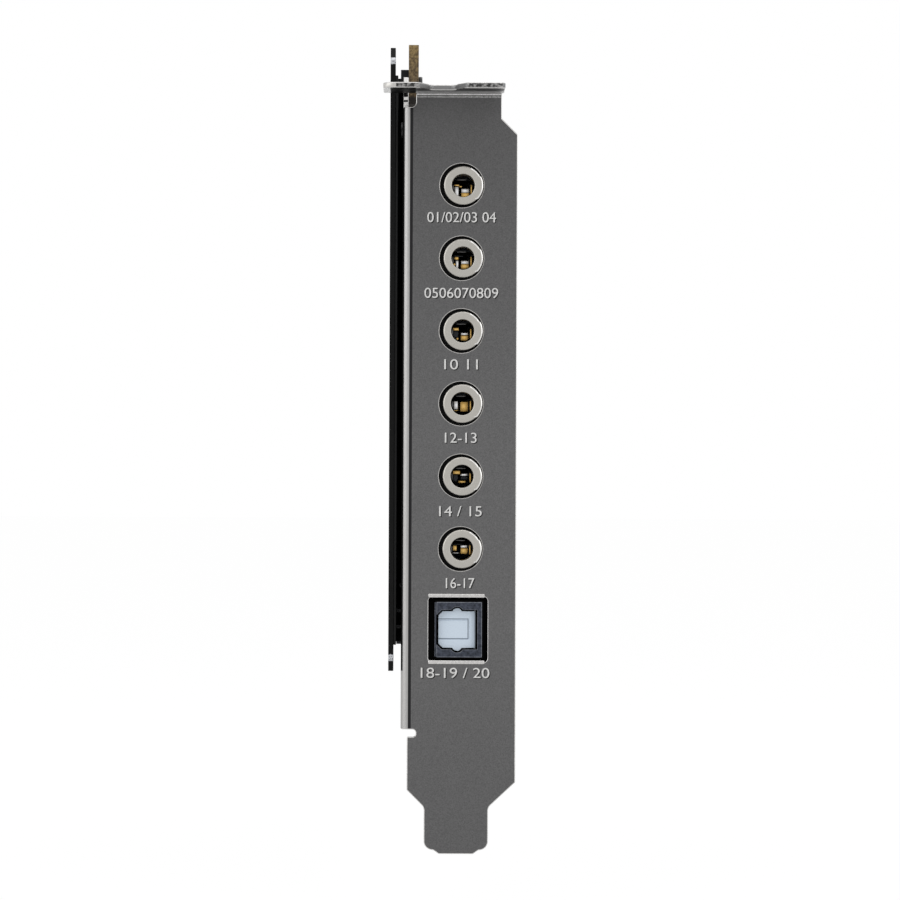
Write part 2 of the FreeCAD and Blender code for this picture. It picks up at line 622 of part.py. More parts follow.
def bracket_blank(body):
    """The plate, the folded edge with its ears and the tab, all with sharp corners."""
    plate = new_sketch(body, "PlateOutline", "XZ_Plane", "plate_back")
    add_polygon(plate, [
        ("tongue_left", "-tongue_tip + tongue_slope"),
        ("tongue_left + (tongue_width - tongue_flat) / 2 - tongue_step", "-tongue_tip + tongue_slope"),
        ("tongue_left + (tongue_width - tongue_flat) / 2", "-tongue_tip"),
        ("tongue_left + (tongue_width + tongue_flat) / 2", "-tongue_tip"),
        ("tongue_left + (tongue_width + tongue_flat) / 2 + tongue_step", "-tongue_tip + tongue_slope"),
        ("tongue_left + tongue_width", "-tongue_tip + tongue_slope"),
        ("tongue_left + tongue_width", "-tongue_top"),
        ("plate_right", "-shoulder_low"),
        ("plate_right", "seat_height - neck_drop - (plate_right - neck_right)"),
        ("neck_right", "seat_height - neck_drop"),
        ("neck_right", "seat_height + sheet_thick"),
        ("neck_left", "seat_height + sheet_thick"),
        ("neck_left", "flange_top"),
        (FOLD_OUTER, "flange_top"),
        (FOLD_OUTER, "flange_low"),
        ("relief_reach", "flange_low"),
        ("relief_reach", "flange_low - relief_height"),
        ("-plate_left", "flange_low - relief_height"),
        ("-plate_left", "-tongue_top + tongue_left + plate_left"),
        ("tongue_left", "-tongue_top"),
    ])
    pad(body, "Plate", plate, "sheet_thick")

    edge = new_sketch(body, "FoldedEdgeOutline", "YZ_Plane", FOLD_OUTER)
    strip = f"{PLATE_OUTER} + flange_depth"
    add_rectangle(edge, PLATE_OUTER, "flange_low", strip, "flange_top")
    pad(body, "FoldedEdge", edge, "sheet_thick")

    ears = new_sketch(body, "EarOutlines", "YZ_Plane", FOLD_OUTER)
    strip_in = f"{strip} - ear_start"
    add_rectangle(ears, strip_in, "lower_screw_z - ear_width / 2",
                  "-lower_screw_y + ear_width / 2", "lower_screw_z + ear_width / 2")
    add_rectangle(ears, "-plate_back + ear_front", "ear_low", "-ear_back", "ear_top")
    pad(body, "Ears", ears, "sheet_thick")

    tab = new_sketch(body, "TabOutline", "XY_Plane", "seat_height")
    wing = f"{PLATE_OUTER} - tab_gap"
    front = f"{PLATE_OUTER} - tab_reach"
    add_polygon(tab, [
        ("neck_left", "-plate_back"),
        ("neck_left", wing),
        ("-tab_left", wing),
        ("-tab_left", front),
        ("slot_centre - slot_mouth / 2", front),
        ("slot_centre - slot_width / 2", f"{front} + slot_flare"),
        ("slot_centre - slot_width / 2", f"{front} + slot_depth"),
        ("slot_centre + slot_width / 2", f"{front} + slot_depth"),
        ("slot_centre + slot_width / 2", f"{front} + slot_flare"),
        ("slot_centre + slot_mouth / 2", front),
        ("tab_width - tab_left", front),
        ("tab_width - tab_left", wing),
        ("neck_right", wing),
        ("neck_right", "-plate_back"),
    ])
    pad(body, "Tab", tab, "sheet_thick")


def bracket_holes(body):
    """Six round holes for the jacks, the window of the optical socket and the ears' screw holes."""
    ports = new_sketch(body, "PortOutlines", "XZ_Plane", "plate_back")
    for number in range(1, JACK_COUNT + 1):
        add_circle(ports, f"{JACK_X} - hole_shift", jack_z(number), "jack_hole")
    left = f"{OPTIC_X} + window_shift - window_wide / 2"
    right = f"{OPTIC_X} + window_shift + window_wide / 2"
    add_rectangle(ports, left, "optic_z - window_tall / 2", right, "optic_z + window_tall / 2")
    pocket(body, "Ports", ports, "sheet_thick", back=True)
    holes = new_sketch(body, "EarHoles", "YZ_Plane")
    for y, z in EAR_SCREWS:
        add_circle(holes, y, z, "screw_shank + thread_gap")
    return pocket(body, "EarHolesCut", holes)


def bracket_bends(body, feature):
    """The rounded bends of the folded edge and of the tab."""
    outer = -read("plate_back") - read("sheet_thick")
    inner = -read("plate_back")
    fold_in = -read("board_thick") / 2
    fold_out = fold_in - read("sheet_thick")
    seat = read("seat_height")
    top = seat + read("sheet_thick")
    upright = (0, 0, 1)
    across = (1, 0, 0)
    feature = round_edges(body, "FoldOutside", feature, "bend_inside + sheet_thick",
                          [(fold_out, outer, None)], upright)
    feature = round_edges(body, "FoldInside", feature, "bend_inside", [(fold_in, inner, None)], upright)
    feature = round_edges(body, "TabBendOutside", feature, "tab_bend + sheet_thick",
                          [(None, inner, top)], across)
    return round_edges(body, "TabBendInside", feature, "tab_bend", [(None, outer, seat)], across)


def bracket_corners(body, feature):
    """Rounded corners of the tongue, the reliefs, the tab, its slot, the window and the ears."""
    through_plate = (0, 1, 0)
    upright = (0, 0, 1)
    across = (1, 0, 0)
    tongue_left = read("tongue_left")
    tongue_right = tongue_left + read("tongue_width")
    feature = round_edges(body, "TongueTips", feature, "tip_round", [
        (x, None, -read("tongue_tip") + read("tongue_slope")) for x in (tongue_left, tongue_right)
    ], through_plate)
    feature = round_edges(body, "TongueShoulders", feature, "shoulder_round", [
        (x, None, -read("tongue_top")) for x in (tongue_left, tongue_right)
    ], through_plate)
    feature = round_edges(body, "ReliefSlotEnd", feature, "relief_round", [
        (read("relief_reach"), None, read("flange_low") - drop) for drop in (0, read("relief_height"))
    ], through_plate)
    feature = round_edges(body, "TopRelief", feature, "top_round",
                          [(read("neck_left"), None, read("flange_top"))], through_plate)

    tab_front = -read("plate_back") - read("sheet_thick") - read("tab_reach")
    slot_end = tab_front + read("slot_depth")
    centre = read("slot_centre")
    half_mouth = read("slot_mouth") / 2
    half_slot = read("slot_width") / 2
    feature = round_edges(body, "TabFrontLeft", feature, "wing_round",
                          [(-read("tab_left"), tab_front, None)], upright)
    feature = round_edges(body, "TabFrontRight", feature, "tab_round", [
        (read("tab_width") - read("tab_left"), tab_front, None),
        (centre - half_mouth, tab_front, None),
        (centre + half_mouth, tab_front, None),
    ], upright)
    feature = round_edges(body, "SlotBottom", feature, "slot_round", [
        (centre - half_slot, slot_end, None),
        (centre + half_slot, slot_end, None),
    ], upright)

    window_x = read("board_thick") / 2 + read("optic_rise") + read("window_shift")
    half_wide = read("window_wide") / 2
    half_tall = read("window_tall") / 2
    feature = round_edges(body, "WindowCorners", feature, "window_corner", [
        (window_x + side * half_wide, None, read("optic_z") + level * half_tall)
        for side in (-1, 1) for level in (-1, 1)
    ], through_plate)
    ear_end = -read("lower_screw_y") + read("ear_width") / 2
    bevel_edges(body, "EarEnds", feature, "ear_bevel", [
        (None, ear_end, read("lower_screw_z") - read("ear_width") / 2),
        (None, ear_end, read("lower_screw_z") + read("ear_width") / 2),
        (None, -read("ear_back"), read("ear_low")),
        (None, -read("ear_back"), read("ear_top")),
    ], across)


def make_bracket():
    body = new_body("bracket")
    bracket_blank(body)
    drilled = bracket_holes(body)
    doc.recompute()
    bent = bracket_bends(body, drilled)
    bracket_corners(body, bent)


make_bracket()


# Screws along X, with their heads on the board's component side

def make_screw(name, y, z, length):
    head = rod(name + "Head", (BOARD_FACE, y, z), "head_width", "head_height", turn="X")
    shank = rod(name + "Shank", (f"{BOARD_FACE} - ({length})", y, z), "screw_shank", length, turn="X")
    return fuse(name, [head, shank])


def make_screws():
    through_ear = "board_thick + sheet_thick + ear_beyond"
    into_spacer = "board_thick + gap_behind - cover_short"
    ears = [make_screw(f"EarScrew{i}", y, z, through_ear) for i, (y, z) in enumerate(EAR_SCREWS)]
    group("bracket_screws", ears)
    posts = [make_screw(f"PostScrew{i}", y, z, into_spacer) for i, (y, z) in enumerate(POSTS)]
    group("backplate_screws", posts)


# Stepped black spacers, six-sided with a flat side up. They are riveted to the black plate, and the black
# screws hold them to the board.

def hexagon(name, base, flats, length):
    """A six-sided bar along X, from its width across flats."""
    item = doc.addObject("Part::Prism", name)
    turned = FreeCAD.Rotation(VECTOR(0, 1, 0), 90)
    item.Placement.Rotation = turned.multiply(FreeCAD.Rotation(VECTOR(0, 0, 1), 30))
    bind(item, Circumradius=f"{flats} / sqrt(3)", Height=length)
    place(item, *base)
    return item


def make_spacers():
    spacers = []
    for i, (y, z) in enumerate(POSTS):
        shoulder = hexagon(f"SpacerShoulder{i}", (f"{SOLDER_FACE} - spacer_step", y, z),
                           "spacer_shoulder", "spacer_step")
        barrel = hexagon(f"SpacerBarrel{i}", (f"{SOLDER_FACE} - gap_behind", y, z),
                         "spacer_barrel", "gap_behind")
        bore = rod(f"SpacerBore{i}", (f"{SOLDER_FACE} - gap_behind - 1", y, z),
                   "screw_shank + thread_gap", "gap_behind + 2", turn="X")
        spacers.append(cut(f"Spacer{i}", fuse(f"SpacerSolid{i}", [shoulder, barrel]), bore))
    group("board_standoffs", spacers)


# Black plate, with a lug at each front corner, and the insulating sheet on its inner face

def make_cover():
    body = new_body("emi_backplate")
    outer_x = f"{SOLDER_FACE} - gap_behind - plate_thick"
    sketch = new_sketch(body, "CoverOutline", "YZ_Plane", outer_x)
    lug_back = "-cover_front + lug_wide"
    add_polygon(sketch, [
        ("-cover_front", "cover_low - lug_drop"),
        (lug_back, "cover_low - lug_drop"),
        (lug_back, "cover_low"),
        ("cover_rear", "cover_low"),
        ("cover_rear", "cover_top"),
        (lug_back, "cover_top"),
        (lug_back, "cover_top + lug_rise"),
        ("-cover_front", "cover_top + lug_rise"),
    ])
    flat = pad(body, "CoverSheet", sketch, "plate_thick")
    doc.recompute()
    back = -read("cover_front") + read("lug_wide")
    low = read("cover_low") - read("lug_drop")
    top = read("cover_top") + read("lug_rise")
    corners = [(None, read("cover_rear"), read("cover_low")), (None, read("cover_rear"), read("cover_top"))]
    corners += [(None, y, z) for y in (-read("cover_front"), back) for z in (low, top)]
    bevel_edges(body, "CoverCorners", flat, "cover_corner", corners, along=(1, 0, 0))


def make_insulator():
    body = new_body("insulating_sheet")
    sketch = new_sketch(body, "InsulatorOutline", "YZ_Plane", f"{SOLDER_FACE} - gap_behind")
    clear = "(spacer_shoulder / sqrt(3) + foam_gap)"
    add_polygon(sketch, [
        ("-foam_front", "cover_low"),
        ("cover_rear - foam_rear", "cover_low"),
        ("cover_rear - foam_rear", "cover_top"),
        (f"-post_front_y + {clear}", "cover_top"),
        (f"-post_front_y + {clear}", f"post_top_z - {clear}"),
        ("-foam_front", f"post_top_z - {clear}"),
    ])
    pad(body, "InsulatorSheet", sketch, "gap_behind - foam_clear")
    holes = new_sketch(body, "InsulatorHoles", "YZ_Plane")
    for y, z in POSTS[1:]:
        add_rectangle(holes, f"{y} - {clear}", f"{z} - {clear}", f"{y} + {clear}", f"{z} + {clear}")
    ear_half = "(ear_width / 2 + foam_gap)"
    add_rectangle(holes, "-foam_front - ear_width", f"lower_screw_z - {ear_half}",
                  f"-lower_screw_y + {ear_half}", f"lower_screw_z + {ear_half}")
    pocket(body, "InsulatorHolesCut", holes)


make_screws()
make_spacers()
make_cover()
make_insulator()


# Jacks. Each one's own frame starts at its housing's front face, on its axis.

def make_jack_housing(number):
    """A moulded body with a stepped bore: the ring's seat, then the contacts' square chamber."""
    body = new_body(f"jack_{number}_housing")
    outline = new_sketch(body, "HousingOutline", "XZ_Plane")
    add_polygon(outline, [
        ("-jack_rise", "-jack_width / 2"),
        ("jack_over - jack_shoulder", "-jack_width / 2"),
        ("jack_over", "-jack_width / 2 + jack_shoulder"),
        ("jack_over", "jack_width / 2 - jack_shoulder"),
        ("jack_over - jack_shoulder", "jack_width / 2"),
        ("-jack_rise", "jack_width / 2"),
    ])
    pad(body, "HousingBlock", outline, "jack_depth", back=True)
    seat = new_sketch(body, "RingSeat", "XZ_Plane")
    add_circle(seat, "0", "0", "ring_outer")
    pocket(body, "RingSeatCut", seat, "ring_seat")
    chamber = new_sketch(body, "Chamber", "XZ_Plane", "-ring_seat")
    add_rectangle(chamber, "-chamber_half", "-chamber_half", "chamber_half", "chamber_half")
    pocket(body, "ChamberCut", chamber, "chamber_depth")
    legs = new_sketch(body, "LegOpening", "YZ_Plane", "-jack_rise")
    deep = "(strip_thick / 2 + tail_gap)"
    tall = "(tail_width / 2 + tail_gap)"
    first, last = TAIL_AT[0][0], TAIL_AT[-1][0]
    add_rectangle(legs, f"{first} - {deep}", f"switch_tail - {tall}",
                  f"{last} + {deep}", f"tip_tail + {tall}")
    pocket(body, "LegOpeningCut", legs, "jack_rise - chamber_half", back=True)
    place(body, JACK_X, JACK_FRONT, jack_z(number))


def make_ring(number):
    """The plated ring that shows in the bracket's hole, turned from bar."""
    body = new_body(f"jack_{number}_ferrule")
    front = "-jack_gap - sheet_thick - ring_proud"
    profile = new_sketch(body, "RingProfile", "XY_Plane")
    add_polygon(profile, [
        ("ring_bore / 2", front),
        ("ring_outer / 2", front),
        ("ring_outer / 2", "ring_seat"),
        ("ring_bore / 2", "ring_seat"),
    ])
    turned = body.newObject("PartDesign::Revolution", "Turned")
    turned.Profile = profile
    turned.ReferenceAxis = (profile, ["V_Axis"])
    place(body, JACK_X, JACK_FRONT, jack_z(number))


# The three contacts of a jack, each bent from strip: the edges of the leaf, along the bracket from the axis
STRIP_EDGES = {
    "sleeve": (-1.6, 0.3),
    "switch": (-1.6, -0.1),
    "tip": (-1.2, 0.8),
}


def strip(path, low, high):
    """A bent strip: a path in the XY plane through its middle, as wide as from low to high along Z."""
    thick = read("strip_thick")
    middle = Part.makePolygon([VECTOR(x, y, low) for x, y in path])
    side = middle.makeOffset2D(thick / 2, 2, False, True)
    return side.makeOffset2D(-thick, 2, True, True).extrude(VECTOR(0, 0, high - low))


def contact_shape(name):
    """A leaf with the narrow leg that runs down through the board."""
    low, high = STRIP_EDGES[name]
    half = read("chamber_half")
    seat = read("ring_seat")
    deep = read("chamber_depth")
    path = [(half * x, seat + deep * y) for x, y in LEAVES[name]]
    thick = read("strip_thick")
    wide = read("tail_width")
    end = -read("jack_rise") - read("board_thick") - read("tail_length")
    foot, back = path[0]
    rise = read(name + "_tail")
    top = foot + thick
    solid = strip(path, low, high)
    if rise > high:
        top = foot
        bridge = Part.makeBox(read("bridge_width"), thick, rise + wide / 2 - low)
        bridge.translate(VECTOR(top - read("bridge_width") / 2, back - thick / 2, low))
        solid = solid.fuse(bridge)
    leg = Part.makeBox(top - end, thick, wide)
    leg.translate(VECTOR(end, back - thick / 2, rise - wide / 2))
    return solid.fuse(leg).removeSplitter()


def make_contacts(number):
    item = doc.addObject("Part::Feature", f"Contacts{number}")
    item.Shape = Part.makeCompound([contact_shape(name) for name in LEAVES])
    place(item, JACK_X, JACK_FRONT, jack_z(number))
    node(item, f"jack_{number}_contacts")


for jack_number in range(1, JACK_COUNT + 1):
    make_jack_housing(jack_number)
    make_ring(jack_number)
    make_contacts(jack_number)


# Optical socket: a moulded housing, a hinged shutter on its pin, a leaf spring and the light source

def make_optical_housing():
    body = new_body("optical_housing")
    back = "nose_proud + sheet_thick + optic_depth"
    side = new_sketch(body, "SideOutline", "XY_Plane")
    add_polygon(side, [
        ("-nose_left", "0"),
        ("nose_right", "0"),
        ("nose_right", back),
        ("-optic_rise", back),
        ("-optic_rise", "foot_setback"),
        ("-nose_left", "foot_setback"),
    ])
    block = pad(body, "Moulding", side, "2 * nose_half", both=True)
    doc.recompute()
    middle = (read("nose_right") - read("nose_left")) / 2
    bevelled = bevel_edges(body, "NoseBevel", block, "nose_bevel", [
        (-read("nose_left"), 0, 0),
        (read("nose_right"), 0, 0),
        (middle, 0, read("nose_half")),
        (middle, 0, -read("nose_half")),
    ])
    body.Tip = bevelled
    collar = new_sketch(body, "Collar", "XZ_Plane", "-(nose_proud + sheet_thick + collar_gap)")
    high = "(nose_half + collar_over)"
    add_rectangle(collar, "-optic_rise", f"-{high}", "nose_right + collar_over", high)
    pad(body, "CollarPlate", collar, "collar_thick", back=True)

    opening = new_sketch(body, "Opening", "XZ_Plane")
    add_polygon(opening, [
        ("-open_left + open_cut", "-open_half"),
        ("open_right", "-open_half"),
        ("open_right", "open_half"),
        ("-open_left + open_cut", "open_half"),
        ("-open_left", "open_half - open_cut"),
        ("-open_left", "-open_half + open_cut"),
    ])
    pocket(body, "OpeningCut", opening, "lip_thick")
    for name, level in (("KeyAbove", "key_centre"), ("KeyBelow", "-key_centre")):
        key = new_sketch(body, name, "XZ_Plane")
        add_circle(key, "0", level, "2 * key_radius")
        pocket(body, name + "Cut", key, "lip_thick")
    cavity = new_sketch(body, "Cavity", "XZ_Plane", "-lip_thick")
    add_rectangle(cavity, "-cavity_left", "-cavity_half", "cavity_right", "cavity_half")
    pocket(body, "CavityCut", cavity, "cavity_depth")
    fibre = new_sketch(body, "FibreBore", "XZ_Plane", f"-({CAVITY_BACK})")
    add_circle(fibre, "0", "0", "fibre_bore")
    pocket(body, "FibreBoreCut", fibre, "fibre_depth")
    half = "(emitter_half + emitter_gap)"
    room = new_sketch(body, "SourceRoom", "XZ_Plane", f"-({EMITTER_FRONT})")
    add_rectangle(room, "-optic_rise - emitter_half", f"-{half}", half, half)
    pocket(body, "SourceRoomCut", room, f"{back} - ({EMITTER_FRONT})")

    seats = new_sketch(body, "PinSeats", "XY_Plane")
    half = "pin_wide / 2"
    depth = "lip_thick + hinge_back"
    add_rectangle(seats, f"hinge_shift - {half}", f"{depth} - {half}",
                  f"hinge_shift + {half}", f"{depth} + {half}")
    pocket(body, "PinSeatsCut", seats, "2 * (cavity_half + pin_seat)", both=True)
    place(body, OPTIC_X, OPTIC_FRONT, "optic_z")


def make_shutter():
    """The flap, in a frame of its own on the hinge axis, half-way along the pin."""
    body = new_body("optical_shutter")
    front = "hinge_back - flap_gap"
    free = "(hinge_shift + flap_left)"
    leaf = new_sketch(body, "LeafOutline", "XZ_Plane", front)
    add_polygon(leaf, [
        (f"-{free} + flap_cut", "-flap_half"),
        ("0", "-flap_half"),
        ("0", "flap_half"),
        (f"-{free} + flap_cut", "flap_half"),
        (f"-{free}", "flap_half - flap_cut"),
        (f"-{free}", "-flap_half + flap_cut"),
    ])
    pad(body, "Leaf", leaf, "flap_thick", back=True)
    for name, level in (("EarAbove", "flap_key_centre"), ("EarBelow", "-flap_key_centre")):
        ear = new_sketch(body, name, "XZ_Plane", front)
        add_circle(ear, "-hinge_shift", level, "2 * flap_key")
        pad(body, name + "Disc", ear, "flap_thick", back=True)
    barrel = new_sketch(body, "Barrel", "XY_Plane")
    add_circle(barrel, "0", "0", "barrel_wide")
    pad(body, "BarrelRod", barrel, "2 * flap_half", both=True)
    bore = new_sketch(body, "PinBore", "XY_Plane")
    add_circle(bore, "0", "0", "pin_wide + 2 * pin_clear")
    pocket(body, "PinBoreCut", bore)

    groove = new_sketch(body, "PanelGroove", "XZ_Plane", front)
    start = f"-{free} - groove_wide"
    end = "panel_right - hinge_shift"
    add_polygon(groove, [
        (start, "-panel_half"),
        (end, "-panel_half"),
        (end, "panel_half"),
        (start, "panel_half"),
        (start, "panel_half - groove_wide"),
        (f"{end} - groove_wide", "panel_half - groove_wide"),
        (f"{end} - groove_wide", "-panel_half + groove_wide"),
        (start, "-panel_half + groove_wide"),
    ])
    pocket(body, "PanelGrooveCut", groove, "groove_deep")
    place(body, f"{OPTIC_X} + hinge_shift", f"{OPTIC_FRONT} + lip_thick + hinge_back", "optic_z")


def make_pin():
    base = (f"{OPTIC_X} + hinge_shift", f"{OPTIC_FRONT} + lip_thick + hinge_back",
            "optic_z - cavity_half - pin_seat")
    node(rod("ShutterPin", base, "pin_wide", "2 * (cavity_half + pin_seat)"), "shutter_pin")


def make_spring():
    """A leaf bent to a V: one leg lies on the cavity's wall, the other presses the shutter shut."""
    thick = read("leaf_thick")
    wall = read("cavity_right") - read("hinge_shift") - thick / 2
    back = read("flap_thick") + read("flap_gap") - read("hinge_back") + thick / 2
    root = VECTOR(wall, read("leaf_root"), 0)
    knee = VECTOR(wall, read("leaf_knee"), 0)
    tip = VECTOR(-read("hinge_shift"), back + read("flap_gap"), 0)
    up = (root - knee).normalize()
    out = (tip - knee).normalize()
    opening = up.getAngle(out)
    reach = read("leaf_bend") / math.tan(opening / 2)
    centre_way = (up + out).normalize()
    centre = knee + centre_way * (read("leaf_bend") / math.sin(opening / 2))
    bend = Part.Arc(knee + up * reach, centre - centre_way * read("leaf_bend"), knee + out * reach)
    path = Part.Wire([
        Part.LineSegment(root, knee + up * reach).toShape(),
        bend.toShape(),
        Part.LineSegment(knee + out * reach, tip).toShape(),
    ])
    side = path.makeOffset2D(thick / 2, 2, False, True)
    face = side.makeOffset2D(-thick, 2, True, True)
    item = doc.addObject("Part::Feature", "ShutterSpring")
    item.Shape = face.extrude(VECTOR(0, 0, read("leaf_wide")))
    place(item, f"{OPTIC_X} + hinge_shift", f"{OPTIC_FRONT} + lip_thick + hinge_back", "optic_z - flap_half")
    node(item, "shutter_spring")


def make_transmitter():
    """The light source: a square package with a round lens and three leads."""
    start = f"{OPTIC_FRONT} + {EMITTER_FRONT}"
    package = box("SourcePackage", (f"{OPTIC_X} - emitter_half", start, "optic_z - emitter_half"),
                  ("2 * emitter_half", "emitter_deep", "2 * emitter_half"))
    lens = rod("SourceLens", (OPTIC_X, f"{start} - fibre_depth / 2", "optic_z"),
               "fibre_bore - 2 * emitter_gap", "fibre_depth / 2 + emitter_deep / 2", turn="Y")
    leads = []
    for step in LEAD_STEPS:
        z = f"optic_z + lead_pitch * {step} - lead_wide / 2"
        low = (f"{SOLDER_FACE} - lead_length", f"{LEAD_Y} - lead_wide / 2", z)
        reach = "lead_length + board_thick + optic_rise - emitter_half"
        leads.append(box(f"SourceLead{step + 1}", low, (reach, "lead_wide", "lead_wide")))
    node(fuse("LightSource", [package, lens] + leads), "optical_transmitter")


make_optical_housing()
make_shutter()
make_pin()
make_spring()
make_transmitter()


# Chips. A chip's own frame starts on the board's face under its middle: X up from the board, Y across the
# amplifiers' rows of legs, Z along them.

def make_package(name, across, along, thick, lift="0"):
    """A flat moulded package."""
    body = doc.addObject("PartDesign::Body", name)
    outline = new_sketch(body, "PackageOutline", "YZ_Plane", lift)
    add_rectangle(outline, f"-({across}) / 2", f"-({along}) / 2", f"({across}) / 2", f"({along}) / 2")
    pad(body, "Package", outline, thick)
    return body


def make_chip(name, y, z, across, along, thick):
    """A leadless package that lies on the board."""
    body = make_package(name, across, along, thick)
    place(body, BOARD_FACE, y, z)
    return body


def add_legs(body, profile):
    """Both rows of legs: a profile and its mirror image, repeated along Z."""
    sketch = new_sketch(body, "LegProfile", "XY_Plane", f"-leg_pitch * {(LEGS_PER_SIDE - 1) / 2}")
    add_polygon(sketch, profile)
    add_polygon(sketch, [(x, f"-({y})") for x, y in reversed(profile)])
    first = pad(body, "Leg", sketch, "leg_width", both=True)
    doc.recompute()
    row = body.newObject("PartDesign::LinearPattern", "LegRow")
    row.Originals = [first]
    row.Direction = ([item for item in body.Origin.OriginFeatures if item.Role == "Z_Axis"][0], [""])
    row.Mode = "Spacing"
    row.Occurrences = LEGS_PER_SIDE
    bind(row, Offset="leg_pitch")
    body.Tip = row


def make_amplifier(number):
    """An amplifier in a socket: a thick package, with straight legs that enter the socket's top."""
    body = make_package(f"Amplifier{number}", "amp_wide", "amp_long", "amp_tall", "socket_tall + amp_lift")
    middle = "socket_tall + amp_lift + amp_tall / 2"
    out = "leg_row / 2"
    add_legs(body, [
        (middle, "amp_wide / 2 - leg_thick"),
        (f"{middle} + leg_thick", "amp_wide / 2 - leg_thick"),
        (f"{middle} + leg_thick", f"{out} + leg_thick / 2"),
        ("socket_tall", f"{out} + leg_thick / 2"),
        ("socket_tall", f"{out} - leg_thick / 2"),
        (middle, f"{out} - leg_thick / 2"),
    ])
    place(body, BOARD_FACE, "amp_column", amp_z(number))
    return body


def make_socket(number):
    """A socket: a moulded frame, open in the middle, with a notch at the end of pin one."""
    body = doc.addObject("PartDesign::Body", f"Socket{number}")
    outline = new_sketch(body, "FrameOutline", "YZ_Plane")
    add_rectangle(outline, "-socket_wide / 2", "-socket_long / 2", "socket_wide / 2", "socket_long / 2")
    pad(body, "Frame", outline, "socket_tall")
    window = new_sketch(body, "FrameWindow", "YZ_Plane")
    add_rectangle(window, "-socket_open / 2", "-socket_long / 2 + socket_wall",
                  "socket_open / 2", "socket_long / 2 - socket_wall")
    pocket(body, "FrameWindowCut", window)
    notch = new_sketch(body, "FrameNotch", "YZ_Plane", "socket_tall")
    add_rectangle(notch, "-socket_notch / 2", "socket_long / 2 - notch_deep",
                  "socket_notch / 2", "socket_long / 2")
    pocket(body, "FrameNotchCut", notch, "notch_deep")
    place(body, BOARD_FACE, "amp_column", amp_z(number))
    return body


AMP_COUNT = 3
LEGS_PER_SIDE = 4


def amp_z(number):
    return f"amp_low + amp_pitch * {number}"


def make_chips():
    group("op_amp_sockets", [make_socket(number) for number in range(AMP_COUNT)])
    group("op_amps", [make_amplifier(number) for number in range(AMP_COUNT)])
    converters = [
        make_chip(f"Converter{i}", "converter_y", f"converter_z + converter_pitch * {i}",
                  "chip_wide", "chip_long", "chip_thick")
        for i in range(2)
    ]
    group("converter_chips", converters)
    node(make_chip("InputConverter", "input_y", "input_z", "chip_wide", "chip_long", "chip_thick"),
         "input_converter")
    node(make_chip("HeadphoneAmplifier", "driver_y", "driver_z", "driver_wide", "driver_long", "chip_thick"),
         "headphone_amplifier")
    node(make_chip("Bridge", "bridge_y", "bridge_z", "bridge_side", "bridge_side", "bridge_thick"),
         "bridge_chip")


# Audio processor: a laminate base with a smaller moulded cap whose sides slope

def make_processor():
    body = make_package("Processor", "processor_side", "processor_side", "processor_base", "processor_lift")
    cap = new_sketch(body, "CapOutline", "YZ_Plane", "processor_lift + processor_base")
    half = "(processor_side / 2 - processor_margin)"
    add_rectangle(cap, f"-{half}", f"-{half}", half, half)
    moulded = pad(body, "Cap", cap, "processor_thick - processor_base")
    bind(moulded, TaperAngle="-cap_slope")
    place(body, BOARD_FACE, "processor_y", "processor_z")
    node(body, "audio_processor")


# Wound capacitors in sleeved cans, which stand on the board

def make_cans():
    places = [amp_z(row) for row in range(AMP_COUNT)] + ["low_can_z"]
    signal = [
        rod(f"SignalCan{i}", (BOARD_FACE, "can_column", z), "can_wide", "can_tall", turn="X")
        for i, z in enumerate(places)
    ]
    group("signal_capacitors", signal)
    supply = []
    for row in range(2):
        base = (BOARD_FACE, "tank_y", f"tank_z + tank_spacing * {row}")
        supply.append(rod(f"SupplyCan{row}", base, "tank_wide", "tank_tall", turn="X"))
    group("supply_capacitors", supply)


def bevel_sides(name, block, bevel):
    """A block whose four edges across the board are bevelled."""
    doc.recompute()
    shaped = doc.addObject("Part::Chamfer", name)
    shaped.Base = block
    upright = [
        index for index, edge in enumerate(block.Shape.Edges, start=1)
        if abs(edge.tangentAt(edge.FirstParameter).x) > 0.9
    ]
    shaped.Edges = [(index, read(bevel), read(bevel)) for index in upright]
    return shaped


# Crystals: a drawn can on a flat header

def make_crystals():
    cans = []
    for i in range(2):
        z = f"crystal_z + crystal_spacing * {i}"
        y = "crystal_y - crystal_long / 2"
        low = f"{z} - crystal_wide / 2"
        flange = box(f"CrystalFlange{i}", (BOARD_FACE, y, low),
                     ("crystal_brim", "crystal_long", "crystal_wide"))
        can = box(f"CrystalCan{i}", (BOARD_FACE, f"{y} + crystal_brim", f"{low} + crystal_brim"),
                  ("crystal_tall", "crystal_long - 2 * crystal_brim", "crystal_wide - 2 * crystal_brim"))
        cans.append(fuse(f"Crystal{i}", [flange, bevel_sides(f"CrystalDrawn{i}", can, "crystal_bevel")]))
    group("crystals", cans)


# Supply side: regulators with a cooling tab, moulded power inductors

def make_regulators():
    parts = []
    for i in range(3):
        z = f"supply_z + supply_pitch * {i}"
        tab = box(f"RegulatorTab{i}",
                  (BOARD_FACE, "regulator_y - regulator_tab", f"{z} - regulator_tab_wide / 2"),
                  ("regulator_sheet", "regulator_tab + regulator_deep / 2", "regulator_tab_wide"))
        block = box(f"RegulatorBlock{i}", (BOARD_FACE, "regulator_y", f"{z} - regulator_wide / 2"),
                    ("regulator_tall", "regulator_deep", "regulator_wide"))
        legs = [
            box(f"RegulatorLeg{i}{side}", (BOARD_FACE, "regulator_y + regulator_deep",
                                           f"{z} + lead_pitch * {side} - lead_wide / 2"),
                ("regulator_sheet", "regulator_leg", "lead_wide"))
            for side in (-1, 1)
        ]
        parts.append(fuse(f"Regulator{i}", [tab, block] + legs))
    group("voltage_regulators", parts)


